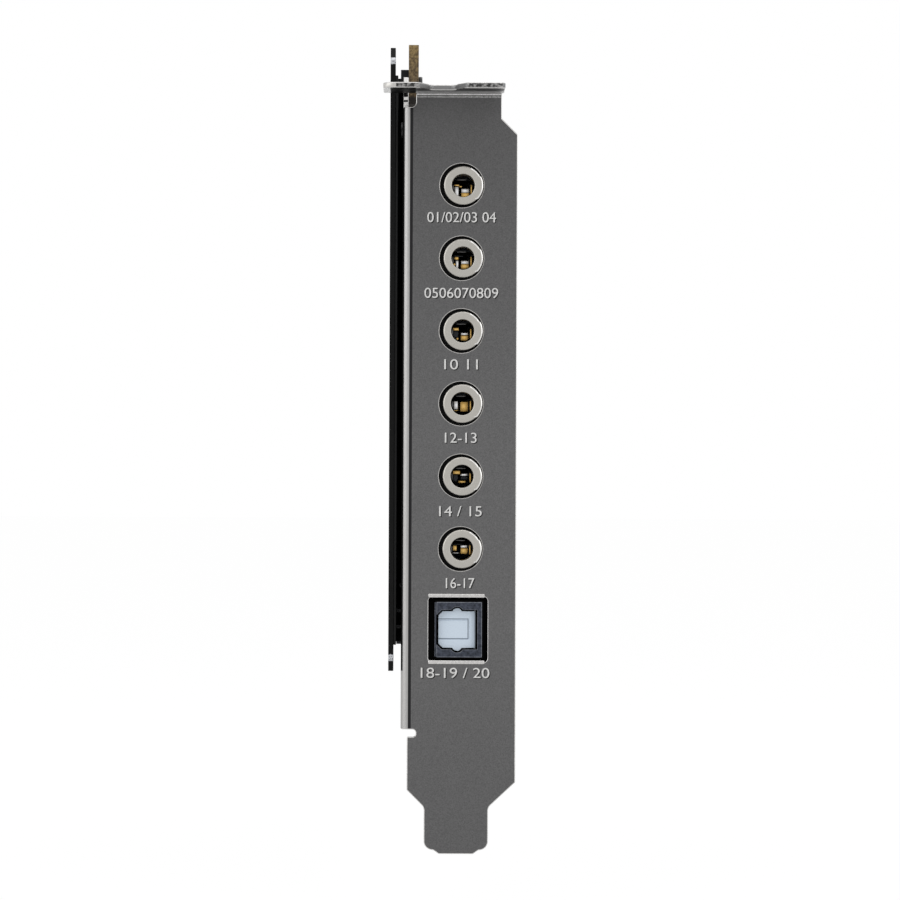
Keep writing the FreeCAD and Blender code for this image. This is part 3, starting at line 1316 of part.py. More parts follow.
def make_inductors():
    parts = []
    for i in range(3):
        z = f"supply_z + supply_pitch * {i}"
        block = box(f"InductorBlock{i}",
                    (BOARD_FACE, "inductor_y - inductor_side / 2", f"{z} - inductor_side / 2"),
                    ("inductor_tall", "inductor_side", "inductor_side"))
        parts.append(bevel_sides(f"Inductor{i}", block, "inductor_bevel"))
    group("power_inductors", parts)


def make_relays():
    parts = []
    for i in range(3):
        y = f"relay_y + relay_pitch * {i}"
        parts.append(box(f"Relay{i}", (BOARD_FACE, f"{y} - relay_long / 2", "relay_z - relay_wide / 2"),
                         ("relay_tall", "relay_long", "relay_wide")))
    group("output_relays", parts)


# Small parts in rows: ceramic capacitors and resistors beside each output's amplifier, at the supply, and
# above and below the audio processor

def spread(count):
    """Steps of a row, counted from its middle."""
    return [step - (count - 1) / 2 for step in range(count)]


def make_small_parts():
    ceramics = []
    resistors = []
    for row in range(AMP_COUNT):
        for index, step in enumerate(spread(4)):
            kind = ceramics if index % 2 else resistors
            kind.append((f"amp_column + small_pitch * {step}",
                         f"amp_low + amp_pitch * {row + 0.5} - small_long / 2"))
    for row in range(3):
        for index, step in enumerate(spread(4)):
            kind = ceramics if index % 2 else resistors
            kind.append(("small_column", f"supply_z + supply_pitch * {row} + small_pitch * {step}"))
    for step in spread(4):
        y = f"processor_y + small_pitch * {step}"
        ceramics.append((y, "processor_z + processor_side / 2 + small_margin"))
        ceramics.append((y, "processor_z - processor_side / 2 - small_margin - small_long"))
    for label, places, height in (("ceramic_capacitors", ceramics, "ceramic_tall"),
                                  ("chip_resistors", resistors, "resistor_tall")):
        blocks = [
            box(f"Block_{label}{i}", (BOARD_FACE, f"{y} - small_wide / 2", z),
                (height, "small_wide", "small_long"))
            for i, (y, z) in enumerate(places)
        ]
        group(label, blocks)


# Front panel header: a moulded base with two rows of square pins, one place left empty as a key

def make_header():
    low_y = "header_y - header_pitch"
    low_z = "header_z - 5 * header_pitch / 2"
    base = box("HeaderBase", (BOARD_FACE, low_y, low_z),
               ("header_base", "2 * header_pitch", "5 * header_pitch"))
    places = [(column, row) for column in range(2) for row in range(5) if (column, row) != (1, 1)]
    holes = []
    pins = []
    for column, row in places:
        y = f"{low_y} + header_pitch * {column + 0.5} - header_pin / 2"
        z = f"{low_z} + header_pitch * {row + 0.5} - header_pin / 2"
        for kind, made, height in (("Hole", holes, "header_base"), ("Pin", pins, "header_tall")):
            made.append(box(f"Header{kind}{column}{row}", (BOARD_FACE, y, z),
                            (height, "header_pin", "header_pin")))
    node(cut("HeaderMoulding", base, fuse("HeaderHoles", holes)), "front_panel_header")
    group("header_pins", pins)


make_chips()
make_processor()
make_cans()
make_crystals()
make_regulators()
make_inductors()
make_relays()
make_small_parts()
make_header()
doc.recompute()


# Nothing is written unless every object and every piece is sound

def check_model():
    for item in doc.Objects:
        if "Invalid" in item.State or "Error" in item.State:
            raise RuntimeError(f"{item.Name} ({item.Label}) did not build: {item.State}")
    for item in nodes:
        if item.Shape.isNull() or not item.Shape.isValid():
            raise RuntimeError(f"{item.Label} has no sound shape")


check_model()
os.makedirs("parts", exist_ok=True)
for piece in nodes:
    piece.Shape.exportStep(f"parts/{piece.Label}.step")
print(f"{len(nodes)} pieces written")
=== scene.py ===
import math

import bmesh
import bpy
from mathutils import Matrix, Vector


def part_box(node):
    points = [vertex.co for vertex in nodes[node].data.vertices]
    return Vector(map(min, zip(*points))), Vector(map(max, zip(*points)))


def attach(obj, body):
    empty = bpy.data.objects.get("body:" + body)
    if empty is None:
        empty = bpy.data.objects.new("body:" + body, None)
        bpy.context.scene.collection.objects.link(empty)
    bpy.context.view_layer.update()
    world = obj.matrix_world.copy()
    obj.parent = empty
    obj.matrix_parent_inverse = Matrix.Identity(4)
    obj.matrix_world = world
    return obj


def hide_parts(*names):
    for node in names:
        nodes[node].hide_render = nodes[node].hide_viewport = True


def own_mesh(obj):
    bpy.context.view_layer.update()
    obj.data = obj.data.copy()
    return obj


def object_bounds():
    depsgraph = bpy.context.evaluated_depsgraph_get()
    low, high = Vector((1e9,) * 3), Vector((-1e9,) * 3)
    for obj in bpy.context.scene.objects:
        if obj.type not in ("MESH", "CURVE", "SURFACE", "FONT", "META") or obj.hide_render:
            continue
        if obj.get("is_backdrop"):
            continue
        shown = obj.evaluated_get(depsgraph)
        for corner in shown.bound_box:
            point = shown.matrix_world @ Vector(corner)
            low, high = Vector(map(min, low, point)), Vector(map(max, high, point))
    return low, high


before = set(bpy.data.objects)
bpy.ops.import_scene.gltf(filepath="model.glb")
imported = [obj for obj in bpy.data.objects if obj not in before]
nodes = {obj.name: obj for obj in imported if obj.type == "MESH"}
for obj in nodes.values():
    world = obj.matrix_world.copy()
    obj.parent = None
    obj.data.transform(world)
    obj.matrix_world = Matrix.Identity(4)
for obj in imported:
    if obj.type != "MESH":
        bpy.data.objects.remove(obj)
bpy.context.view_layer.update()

# %% [markdown]
# ## A sound card, seen from its rear bracket
# The card is mostly sheet metal, moulded plastic and plated rings, so its look comes from small things:
# broken edges that catch the light, a fine grain in the plating, and dark bores with springs in them.
# The frame gives every piece its true size. This script dresses those pieces and adds what is too fine
# for them: raised figures, rounded rings, formed spring ends, soldered joints and copper tracks.

MM = 0.001

# %% [markdown]
# ### Places that come from the frame
# A piece that belongs to a jack or to the optical socket takes its place from that node's own box, so it
# stays right if the card changes. The six jacks are found by their rings, whose boxes are centred on the
# axis of the bore. The plate's front face lies a little behind the tip of the socket's nose.

# %% Axes of the jacks and of the optical socket
JACK_NUMBERS = range(1, 7)
NOSE_PROUD = 0.15 * MM


def middle(node):
    """Centre of a node's box, in metres."""
    low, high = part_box(node)
    return (low + high) / 2


plate_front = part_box("optical_housing")[0].y + NOSE_PROUD
ring_low, ring_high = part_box("jack_1_ferrule")
ring_radius = (ring_high.z - ring_low.z) / 2
ring_axis_x = ring_low.x + ring_radius
jack_axes = [Vector((ring_axis_x, plate_front, middle(f"jack_{n}_ferrule").z)) for n in JACK_NUMBERS]
print("jack axes, mm:", [[round(v / MM, 2) for v in axis] for axis in jack_axes])

# %% [markdown]
# ### Pieces that share one node
# Capacitors, chips and screws of one kind are several solids in one node. Its mesh is loose triangles, so a
# copy of it is merged first, and then each group of joined points is one solid.

# %% Boxes of the solids in a node
MERGE_REACH = 0.0005 * MM


def solids_of(node):
    """The lowest and highest corner of each separate solid, in metres."""
    bm = bmesh.new()
    bm.from_mesh(nodes[node].data)
    bmesh.ops.remove_doubles(bm, verts=bm.verts, dist=MERGE_REACH)
    waiting = set(bm.verts)
    boxes = []
    while waiting:
        reached = [waiting.pop()]
        for vert in reached:
            joined = {edge.other_vert(vert) for edge in vert.link_edges} & waiting
            waiting -= joined
            reached += joined
        boxes.append((Vector([min(vert.co[axis] for vert in reached) for axis in range(3)]),
                      Vector([max(vert.co[axis] for vert in reached) for axis in range(3)])))
    bm.free()
    return sorted(boxes, key=lambda box: tuple(box[0]))


print("signal capacitors:", len(solids_of("signal_capacitors")))

# %% [markdown]
# ### A grain that any material can use
# Plating, powder coat and moulded plastic all have a fine uneven skin. One node group makes it: a noise on
# the object's own coordinates gives a mask for colour and roughness, and the same noise, through Bump,
# gives the normal. Each material places the group with its own grain size and depth.

# %% Node group: fine grain
def new_group(name, inputs, outputs):
    """An empty shader node group with named sockets, and its two end nodes."""
    group = bpy.data.node_groups.new(name, "ShaderNodeTree")
    for label, kind in inputs:
        group.interface.new_socket(name=label, in_out="INPUT", socket_type=kind)
    for label, kind in outputs:
        group.interface.new_socket(name=label, in_out="OUTPUT", socket_type=kind)
    return group, group.nodes.new("NodeGroupInput"), group.nodes.new("NodeGroupOutput")


grain_group, start, end = new_group(
    "FineGrain",
    [("Vector", "NodeSocketVector"), ("Scale", "NodeSocketFloat"), ("Depth", "NodeSocketFloat")],
    [("Mask", "NodeSocketFloat"), ("Normal", "NodeSocketVector")],
)
noise = grain_group.nodes.new("ShaderNodeTexNoise")
noise.inputs["Detail"].default_value = 4.0
noise.inputs["Roughness"].default_value = 0.6
bump = grain_group.nodes.new("ShaderNodeBump")
bump.inputs["Distance"].default_value = 0.05 * MM
spread = grain_group.nodes.new("ShaderNodeMapRange")
spread.inputs["From Min"].default_value = 0.3
spread.inputs["From Max"].default_value = 0.7
grain_group.links.new(start.outputs["Vector"], noise.inputs["Vector"])
grain_group.links.new(start.outputs["Scale"], noise.inputs["Scale"])
grain_group.links.new(noise.outputs["Fac"], bump.inputs["Height"])
grain_group.links.new(start.outputs["Depth"], bump.inputs["Strength"])
grain_group.links.new(noise.outputs["Fac"], spread.inputs["Value"])
grain_group.links.new(spread.outputs["Result"], end.inputs["Mask"])
grain_group.links.new(bump.outputs["Normal"], end.inputs["Normal"])
print("group FineGrain:", len(grain_group.nodes), "nodes")

# %% [markdown]
# ### One recipe for the plain finishes
# Most pieces need two close tones, a range of roughness and a grain size. The recipe mixes the two tones by
# the grain's mask. Numbers that are the same all over a surface, such as the metallic value, are set on the
# shader itself. A helper that is given a socket finds the node tree from it.

# %% A finish in two tones
COAT_ROUGHNESS = 0.15


def new_material(name):
    """A material with nothing but its Principled shader; returns the material and the shader."""
    material = bpy.data.materials.new(name)
    material.use_nodes = True
    return material, material.node_tree.nodes["Principled BSDF"]


def feed(shader, inputs):
    """Links or sets the shader's inputs; each value is a socket or a plain value."""
    for label, value in inputs.items():
        if isinstance(value, bpy.types.NodeSocket):
            shader.id_data.links.new(value, shader.inputs[label])
        else:
            shader.inputs[label].default_value = value


def add_grain(shader, grain_mm, depth):
    """Gives the shader a grain on the object's coordinates; returns the coordinates' node and the mask."""
    tree = shader.id_data
    place = tree.nodes.new("ShaderNodeTexCoord")
    grain = tree.nodes.new("ShaderNodeGroup")
    grain.node_tree = grain_group
    grain.inputs["Scale"].default_value = 1 / (grain_mm * MM)
    grain.inputs["Depth"].default_value = depth
    tree.links.new(place.outputs["Object"], grain.inputs["Vector"])
    feed(shader, {"Normal": grain.outputs["Normal"]})
    return place, grain.outputs["Mask"]


def mix_colour(mask, first, second):
    """Mixes two colours by a mask; each is a colour or a socket."""
    tree = mask.id_data
    mix = tree.nodes.new("ShaderNodeMix")
    mix.data_type = "RGBA"
    tree.links.new(mask, mix.inputs["Factor"])
    for socket, value in ((mix.inputs[6], first), (mix.inputs[7], second)):
        if isinstance(value, bpy.types.NodeSocket):
            tree.links.new(value, socket)
        else:
            socket.default_value = (*value, 1.0)
    return mix.outputs[2]


def ranged(value, low, high, start=0.0, stop=1.0):
    """Maps start to stop onto low to high."""
    tree = value.id_data
    node = tree.nodes.new("ShaderNodeMapRange")
    node.inputs["From Min"].default_value = start
    node.inputs["From Max"].default_value = stop
    node.inputs["To Min"].default_value = low
    node.inputs["To Max"].default_value = high
    tree.links.new(value, node.inputs["Value"])
    return node.outputs["Result"]


def finish(name, dark, light, rough, grain_mm, depth, metallic=0.0, coat=0.0, shine=0.5):
    """A two-tone finish; rough is its lowest and highest roughness, shine how much a dull surface mirrors."""
    material, shader = new_material(name)
    _, mask = add_grain(shader, grain_mm, depth)
    feed(shader, {"Base Color": mix_colour(mask, dark, light), "Roughness": ranged(mask, *rough),
                  "Metallic": metallic, "Coat Weight": coat, "Coat Roughness": COAT_ROUGHNESS,
                  "Specular IOR Level": shine})
    return material


# a brighter nickel for broken edges and the window's beads, a painted highlight
painted_highlight_nickel = finish("painted_highlight_nickel", (0.46, 0.45, 0.44), (0.62, 0.61, 0.60), (0.18, 0.3), 0.25, 0.1, 1.0)
ring_nickel = finish("ring_nickel", (0.40, 0.385, 0.355), (0.47, 0.455, 0.42), (0.32, 0.45), 0.08, 0.12, 1.0)
# a brighter nickel for the raised figures, a painted highlight
caption_highlight_nickel = finish("caption_highlight_nickel", (0.52, 0.52, 0.51), (0.72, 0.71, 0.70), (0.3, 0.4), 0.3, 0.1, 1.0)
caption_shade = finish("caption_shade", (0.015, 0.015, 0.015), (0.030, 0.030, 0.030), (0.6, 0.7), 0.3, 0.1,
                       shine=0.1)
# a brighter nickel for one side of the rings' rims, a painted highlight
ring_rim_highlight = finish("ring_rim_highlight", (0.68, 0.67, 0.65), (0.76, 0.75, 0.73), (0.2, 0.3), 0.2, 0.05, 1.0)
# a pale nickel for silver springs, also used as a painted highlight on the gilded blocks
pale_contact_and_highlight = finish("pale_contact_and_highlight", (0.72, 0.73, 0.75), (0.92, 0.92, 0.93), (0.2, 0.3), 0.2, 0.1, 1.0)
grey_contact = finish("grey_contact", (0.12, 0.12, 0.125), (0.22, 0.22, 0.225), (0.3, 0.4), 0.2, 0.1, 1.0)
dull_contact = finish("dull_contact", (0.030, 0.034, 0.040), (0.075, 0.080, 0.090), (0.4, 0.5), 0.15, 0.2,
                      metallic=0.6)
gold_plate = finish("gold_plate", (0.70, 0.42, 0.10), (0.86, 0.58, 0.22), (0.22, 0.36), 0.3, 0.1, 1.0)
bright_steel = finish("bright_steel", (0.55, 0.56, 0.58), (0.70, 0.71, 0.73), (0.15, 0.3), 0.2, 0.1, 1.0)
# a plated steel painted dark as painted shade, for the bracket's screws and the capacitors' scored crosses
shaded_steel = finish("shaded_steel", (0.06, 0.06, 0.062), (0.11, 0.11, 0.112), (0.3, 0.45), 0.3, 0.2, 1.0)
dark_package = finish("dark_package", (0.03, 0.03, 0.035), (0.05, 0.05, 0.055), (0.3, 0.45), 0.3, 0.2)
black_plastic = finish("black_plastic", (0.004, 0.004, 0.004), (0.010, 0.010, 0.011), (0.5, 0.7), 0.2, 0.35,
                       shine=0.1)
black_steel = finish("black_steel", (0.015, 0.015, 0.016), (0.04, 0.04, 0.04), (0.3, 0.45), 0.25, 0.2, 0.6)
black_foam = finish("black_foam", (0.004, 0.004, 0.004), (0.010, 0.010, 0.010), (0.85, 0.95), 0.25, 0.8,
                    shine=0.05)
liner_film = finish("liner_film", (0.007, 0.007, 0.007), (0.014, 0.014, 0.014), (0.6, 0.7), 0.3, 0.2,
                    shine=0.12)
chip_resin = finish("chip_resin", (0.022, 0.022, 0.023), (0.042, 0.042, 0.043), (0.55, 0.7), 0.12, 0.5)
ferrite = finish("ferrite", (0.05, 0.05, 0.052), (0.11, 0.11, 0.115), (0.6, 0.75), 0.2, 0.6)
relay_plastic = finish("relay_plastic", (0.68, 0.67, 0.62), (0.71, 0.70, 0.65), (0.28, 0.33), 1.5, 0.03)
gold_sleeve = finish("gold_sleeve", (0.50, 0.34, 0.10), (0.54, 0.375, 0.12), (0.24, 0.30), 2.0, 0.02,
                     metallic=0.35, coat=0.4)
black_sleeve = finish("black_sleeve", (0.012, 0.012, 0.016), (0.024, 0.024, 0.03), (0.2, 0.3), 0.8, 0.05,
                      coat=0.4)
bare_aluminium = finish("bare_aluminium", (0.60, 0.60, 0.60), (0.66, 0.66, 0.66), (0.3, 0.38), 0.4, 0.05, 1.0)
solder_mask_ink = finish("solder_mask_ink", (0.60, 0.59, 0.55), (0.66, 0.65, 0.61), (0.5, 0.6), 0.5, 0.05)
tinned = finish("tinned", (0.58, 0.58, 0.57), (0.68, 0.68, 0.67), (0.25, 0.4), 0.3, 0.1, 1.0)
track_copper = finish("track_copper", (0.105, 0.062, 0.034), (0.120, 0.072, 0.040), (0.3, 0.4), 1.0, 0.05)
ceramic_tan = finish("ceramic_tan", (0.36, 0.24, 0.13), (0.48, 0.34, 0.20), (0.4, 0.55), 0.3, 0.2)
print("plain finishes:", len(bpy.data.materials))

# %% [markdown]
# ### Masks that find a place
# A tone that belongs to one part of a surface, such as the burnished fold, is placed by a mask: one inside a
# band of the object's X, Y or Z and nothing outside it, with a soft border. Two masks are multiplied where
# both have to hold, and the larger is taken where either will do.

# %% Bands and how they join
def combine(first, second, operation="MULTIPLY"):
    """Joins two masks."""
    tree = first.id_data
    node = tree.nodes.new("ShaderNodeMath")
    node.operation = operation
    tree.links.new(first, node.inputs[0])
    tree.links.new(second, node.inputs[1])
    return node.outputs[0]


def either(masks):
    """One where any of the masks is."""
    joined = masks[0]
    for mask in masks[1:]:
        joined = combine(joined, mask, "MAXIMUM")
    return joined


def opposite(mask):
    """One where the mask is nothing."""
    return ranged(mask, 1.0, 0.0)


def within(value, low, high, soft):
    """One inside low to high, none outside, with soft borders."""
    rising = ranged(value, 0.0, 1.0, low - soft, low)
    falling = ranged(value, 1.0, 0.0, high, high + soft)
    return combine(rising, falling)


def axes_of(place):
    """The object's own X, Y and Z, each as a socket."""
    tree = place.id_data
    apart = tree.nodes.new("ShaderNodeSeparateXYZ")
    tree.links.new(place.outputs["Object"], apart.inputs["Vector"])
    return tuple(apart.outputs)


def patches(place, size_mm, detail, start, stop):
    """A coarse uneven mask; start and stop are the levels of the noise that become nothing and one."""
    tree = place.id_data
    noise = tree.nodes.new("ShaderNodeTexNoise")
    noise.inputs["Scale"].default_value = 1 / (size_mm * MM)
    noise.inputs["Detail"].default_value = detail
    tree.links.new(place.outputs["Object"], noise.inputs["Vector"])
    return ranged(noise.outputs["Fac"], 0.0, 1.0, start, stop)


print("mask helpers ready")

# %% [markdown]
# ### The bracket's plating
# The flat faces of the plate are a dark satin nickel, a little paler in a broad soft band from 15 to 45 mm
# up. The folded edge is painted far brighter, a painted highlight where the bend catches the light, with a
# painted dark line of shade where the bend begins. Strip and line follow from how far a point lies to the
# solder side, so bands on the object's X place them.

# %% The folded edge
SOFT = 0.05 * MM
FAR_LEFT = -10 * MM
FOLD_LINE = (-0.50 * MM, -0.08 * MM)
FOLD_HEIGHTS = (0.37 * MM, 98.2 * MM)
COVER_SIDE = -1.40 * MM
COVER_HEIGHTS = (9.6 * MM, 98.2 * MM)


def beside_the_cover(x, z):
    """Mask of the fold's border, which lies in the shade of the black plate."""
    return combine(within(x, FAR_LEFT, COVER_SIDE, SOFT), within(z, *COVER_HEIGHTS, SOFT))


def fold_tones(colour, x, z, in_front):
    """Adds the painted highlight on the fold's strip, the painted dark line of shade where the bend begins
    and the painted shade of its border.
    """
    along = combine(within(z, *FOLD_HEIGHTS, SOFT), in_front)
    line = combine(within(x, *FOLD_LINE, SOFT), along)
    strip = combine(within(x, FAR_LEFT, FOLD_LINE[0] - SOFT, SOFT), along)
    # painted shade: the dark line where the bend begins; painted highlight: the fold's bright strip
    colour = mix_colour(line, colour, (0.018, 0.018, 0.019))
    colour = mix_colour(strip, colour, (0.352, 0.347, 0.342))
    return mix_colour(beside_the_cover(x, z), colour, (0.012, 0.012, 0.012))


print("fold line, mm:", [round(v / MM, 2) for v in FOLD_LINE])

# %% [markdown]
# ### The turned-out tab
# At the tab's foot a dark crease is painted shade, with a painted highlight along the ridge of the bend under
# it. The tab's top is plain satin and its cut front edge carries painted streaks of reflection. Its underside
# has painted shade further out and a painted highlight nearer the bend and at the lip.

# %% Crease, top, cut edge and underside
TAB_FOOT = 99.9 * MM
CREASE = (TAB_FOOT + 0.1 * MM, TAB_FOOT + 0.28 * MM)
RIDGE = (TAB_FOOT - 0.12 * MM, TAB_FOOT + 0.06 * MM)
TAB_UNDERSIDE = (TAB_FOOT + 0.25 * MM, 100.42 * MM)
TAB_TOP = 101.5 * MM
TAB_SOFT = 0.03 * MM
CUT_EDGE = (-69.35 * MM, -69.15 * MM)
UNDER_MIDDLE = (-64 * MM, -62 * MM)
UNDER_LIP = (-68.4 * MM, -67.9 * MM)


def crease_tones(colour, z, mask, in_front):
    """Adds the painted shade of the crease and the painted highlight on the ridge where the tab is bent out
    of the plate.
    """
    crease = combine(within(z, *CREASE, SOFT), in_front)
    ridge = combine(combine(within(z, *RIDGE, 2 * SOFT), mask), in_front)
    # painted shade in the crease, then a painted highlight on the ridge
    colour = mix_colour(crease, colour, (0.035, 0.035, 0.036))
    return mix_colour(ridge, colour, (0.45, 0.45, 0.44))


def tab_tones(place, mask, y, under):
    """The tab's colour: plain satin on top, painted streaks of reflection on the cut edge, painted shade and
    painted highlights underneath.
    """
    top = mix_colour(mask, (0.17, 0.17, 0.17), (0.22, 0.22, 0.22))
    # painted reflection: dark and bright streaks on the cut edge
    streaked = mix_colour(patches(place, 0.5, 3.0, 0.42, 0.62), (0.035, 0.035, 0.035), (0.30, 0.295, 0.29))
    upper = mix_colour(ranged(y, 1.0, 0.0, *CUT_EDGE), top, streaked)
    # underside: painted highlight nearer the bend and at the lip, painted shade further out
    inner = mix_colour(mask, (0.30, 0.30, 0.30), (0.95, 0.94, 0.93))
    lower = mix_colour(ranged(y, 0.0, 1.0, *UNDER_MIDDLE), (0.07, 0.07, 0.07), inner)
    lower = mix_colour(ranged(y, 1.0, 0.0, *UNDER_LIP), lower, (0.9, 0.89, 0.88))
    return mix_colour(under, upper, lower)


print("tab foot at z, mm:", round(TAB_FOOT / MM, 1))

# %% [markdown]
# ### Ear and wing
# Behind the tab, the bracket's upper ear stands in deep shade, and only three small places on it glint. The
# tab's left wing reaches past the black plate. What is in the shade mirrors next to nothing, so the same
# mask also lowers the metallic and the specular value.

# %% Shade and glints
EAR_FACE = -0.3 * MM
EAR_HEIGHTS = (98 * MM, 110 * MM)
EAR_DEPTHS = (0.3 * MM, 0.4 * MM)
EAR_GLINTS = [(98.35 * MM, 99.15 * MM), (99.55 * MM, 99.95 * MM), (102.3 * MM, 103.1 * MM)]
GLINT_SOFT = 0.08 * MM
WING_END = -2.75 * MM
COVER_OUTER = -3.6 * MM
BOARD_SIDE = 0.35 * MM


def in_front_of(y, depths):
    """Mask of what lies in front of a depth behind the plate's front face."""
    first, last = depths
    return ranged(y, 1.0, 0.0, plate_front + first, plate_front + last)


def ear_mask(x, y, z):
    """Mask of the upper ear, behind the plate."""
    on_ear = combine(within(x, FAR_LEFT, EAR_FACE, SOFT), within(z, *EAR_HEIGHTS, SOFT))
    return combine(on_ear, opposite(in_front_of(y, EAR_DEPTHS)))


def glint_mask(ear, z):
    """Mask of the places on the ear that catch the light."""
    return either([combine(ear, within(z, *heights, GLINT_SOFT)) for heights in EAR_GLINTS])


def wing_tones(colour, x, on_tab, under, under_wing):
    """Adds the tab's left wing as a painted highlight, brightest underneath."""
    wing = combine(within(x, FAR_LEFT, WING_END, SOFT), on_tab)
    wing = combine(wing, opposite(under_wing))
    return mix_colour(wing, colour, mix_colour(under, (0.50, 0.49, 0.47), (0.95, 0.95, 0.94)))


print("glints on the ear:", len(EAR_GLINTS))

# %% Dark satin nickel, put together
PALER_HEIGHTS = (15 * MM, 45 * MM)
PALER_BORDER = 45 * MM
FOLD_DEPTHS = (1.3 * MM, 1.5 * MM)
TAB_DEPTHS = (0.6 * MM, 0.7 * MM)


def make_plate_material():
    material, shader = new_material("satin_nickel_plate")
    place, mask = add_grain(shader, 0.16, 0.32)
    x, y, z = axes_of(place)
    plain = mix_colour(mask, (0.078, 0.077, 0.078), (0.125, 0.124, 0.125))
    paler_band = mix_colour(mask, (0.095, 0.094, 0.095), (0.152, 0.151, 0.152))
    colour = mix_colour(within(z, *PALER_HEIGHTS, PALER_BORDER), plain, paler_band)
    in_front = in_front_of(y, FOLD_DEPTHS)
    colour = fold_tones(colour, x, z, in_front)
    colour = crease_tones(colour, z, mask, in_front)

    under = within(z, *TAB_UNDERSIDE, TAB_SOFT)
    on_tab = combine(within(z, TAB_UNDERSIDE[0], TAB_TOP, TAB_SOFT), in_front_of(y, TAB_DEPTHS))
    colour = mix_colour(on_tab, colour, tab_tones(place, mask, y, under))

    ear = ear_mask(x, y, z)
    glints = glint_mask(ear, z)
    under_wing = combine(under, within(x, COVER_OUTER, BOARD_SIDE, SOFT))
    shade = either([ear, under_wing, beside_the_cover(x, z)])
    colour = mix_colour(shade, colour, (0.006, 0.006, 0.006))
    colour = mix_colour(glints, colour, (0.90, 0.89, 0.87))
    colour = wing_tones(colour, x, on_tab, under, under_wing)

    dull = combine(shade, opposite(glints))
    feed(shader, {"Base Color": colour, "Roughness": ranged(mask, 0.34, 0.5),
                  "Metallic": ranged(dull, 0.85, 0.0), "Specular IOR Level": ranged(dull, 0.5, 0.03)})
    return material


satin_nickel_plate = make_plate_material()
print("plate finish:", satin_nickel_plate.name)

# %% [markdown]
# ### The circuit board
# A board is woven glass in resin with copper and solder mask on its faces, so its edge looks different from
# its faces. The edge shows the brown laminate, mottled by its fibres, with painted light near the top and
# painted shade where the tab shades it. The material tells face and edge apart by the normal: on a face it
# points along X.

# %% Laminate edge and solder mask
LIT_EDGE_HEIGHTS = (103 * MM, 108 * MM)
SHADED_HEIGHTS = (100.6 * MM, 101.0 * MM)


def facing_sideways(tree):
    """Mask of the faces that look along X."""
    geometry = tree.nodes.new("ShaderNodeNewGeometry")
    sides = tree.nodes.new("ShaderNodeSeparateXYZ")
    tree.links.new(geometry.outputs["True Normal"], sides.inputs["Vector"])
    absolute = tree.nodes.new("ShaderNodeMath")
    absolute.operation = "ABSOLUTE"
    tree.links.new(sides.outputs["X"], absolute.inputs[0])
    return ranged(absolute.outputs[0], 0.0, 1.0, 0.45, 0.6)


def make_board_material():
    material, shader = new_material("board_laminate")
    place, mask = add_grain(shader, 0.3, 0.25)
    mask_tone = mix_colour(mask, (0.030, 0.017, 0.010), (0.045, 0.026, 0.015))
    height = axes_of(place)[2]
    fibres = patches(place, 0.32, 2.0, 0.38, 0.62)
    # painted light: the brighter tone is the edge lit above the tab
    upper = mix_colour(fibres, (0.095, 0.058, 0.020), (0.270, 0.185, 0.070))
    lower = mix_colour(fibres, (0.060, 0.038, 0.018), (0.190, 0.135, 0.070))
    edge_tone = mix_colour(ranged(height, 0.0, 1.0, *LIT_EDGE_HEIGHTS), lower, upper)
    # painted shade: the edge under the tab
    shaded = ranged(height, 1.0, 0.0, *SHADED_HEIGHTS)
    edge_tone = mix_colour(shaded, edge_tone, (0.016, 0.012, 0.009))
    on_face = facing_sideways(material.node_tree)
    feed(shader, {"Base Color": mix_colour(on_face, edge_tone, mask_tone),
                  "Roughness": ranged(on_face, 0.7, 0.32)})
    return material


board_laminate = make_board_material()
print("board finish:", board_laminate.name)

# %% [markdown]
# ### The black plate
# Powder coat covers the whole sheet, apart from two places on its front edge where the coat has come off
# and the bare metal shines. They are small, so masks on Z and on Y find them.

# %% Powder coat with two bare spots
BARE_SPOTS = [(105.3 * MM, 106.5 * MM), (10.7 * MM, 11.9 * MM)]
SPOT_BORDER = 0.4 * MM
SPOT_DEPTHS = (0.25 * MM, 0.45 * MM)


def make_cover_material():
    material, shader = new_material("black_powder_coat")
    place, mask = add_grain(shader, 0.22, 0.6)
    _, y, z = axes_of(place)
    near_front = ranged(y, 1.0, 0.0, *[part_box("emi_backplate")[0].y + depth for depth in SPOT_DEPTHS])
    spots = either([within(z, *heights, SPOT_BORDER) for heights in BARE_SPOTS])
    bare = ranged(combine(combine(spots, near_front), mask), 0.0, 1.0, 0.15, 0.4)
    coat = mix_colour(mask, (0.003, 0.003, 0.003), (0.007, 0.007, 0.007))
    feed(shader, {"Base Color": mix_colour(bare, coat, (0.50, 0.51, 0.53)), "Metallic": bare,
                  "Roughness": ranged(mask, 0.4, 0.55), "Specular IOR Level": 0.08})
    return material


black_powder_coat = make_cover_material()
print("cover finish:", black_powder_coat.name)

# %% [markdown]
# ### The optical housing
# Its nose has the fine texture of a spark-eroded mould, in slate. What stands behind the plate's window lies
# in its shade, which is painted black. On the left the nose's chamfer still takes some light, so the painted
# shade begins deeper there.

# %% Slate nose, collar in painted shade
COLLAR_DEPTHS = (-0.11 * MM, 3.0 * MM)
LEFT_CHAMFER = 3.9 * MM
LEFT_DEPTHS = (0.3 * MM, COLLAR_DEPTHS[1])
NOSE_HEIGHTS = (11.85 * MM, 20.35 * MM)
COLLAR_SOFT = 0.02 * MM
CHAMFER_SOFT = 0.03 * MM


def housing_shade(x, y, z):
    """Mask of the painted shade behind the window."""
    behind, behind_left = [within(y, plate_front + first, plate_front + last, COLLAR_SOFT)
                           for first, last in (COLLAR_DEPTHS, LEFT_DEPTHS)]
    on_left = combine(ranged(x, 1.0, 0.0, LEFT_CHAMFER - SOFT, LEFT_CHAMFER),
                      within(z, *NOSE_HEIGHTS, CHAMFER_SOFT))
    return either([combine(behind, opposite(on_left)), behind_left])


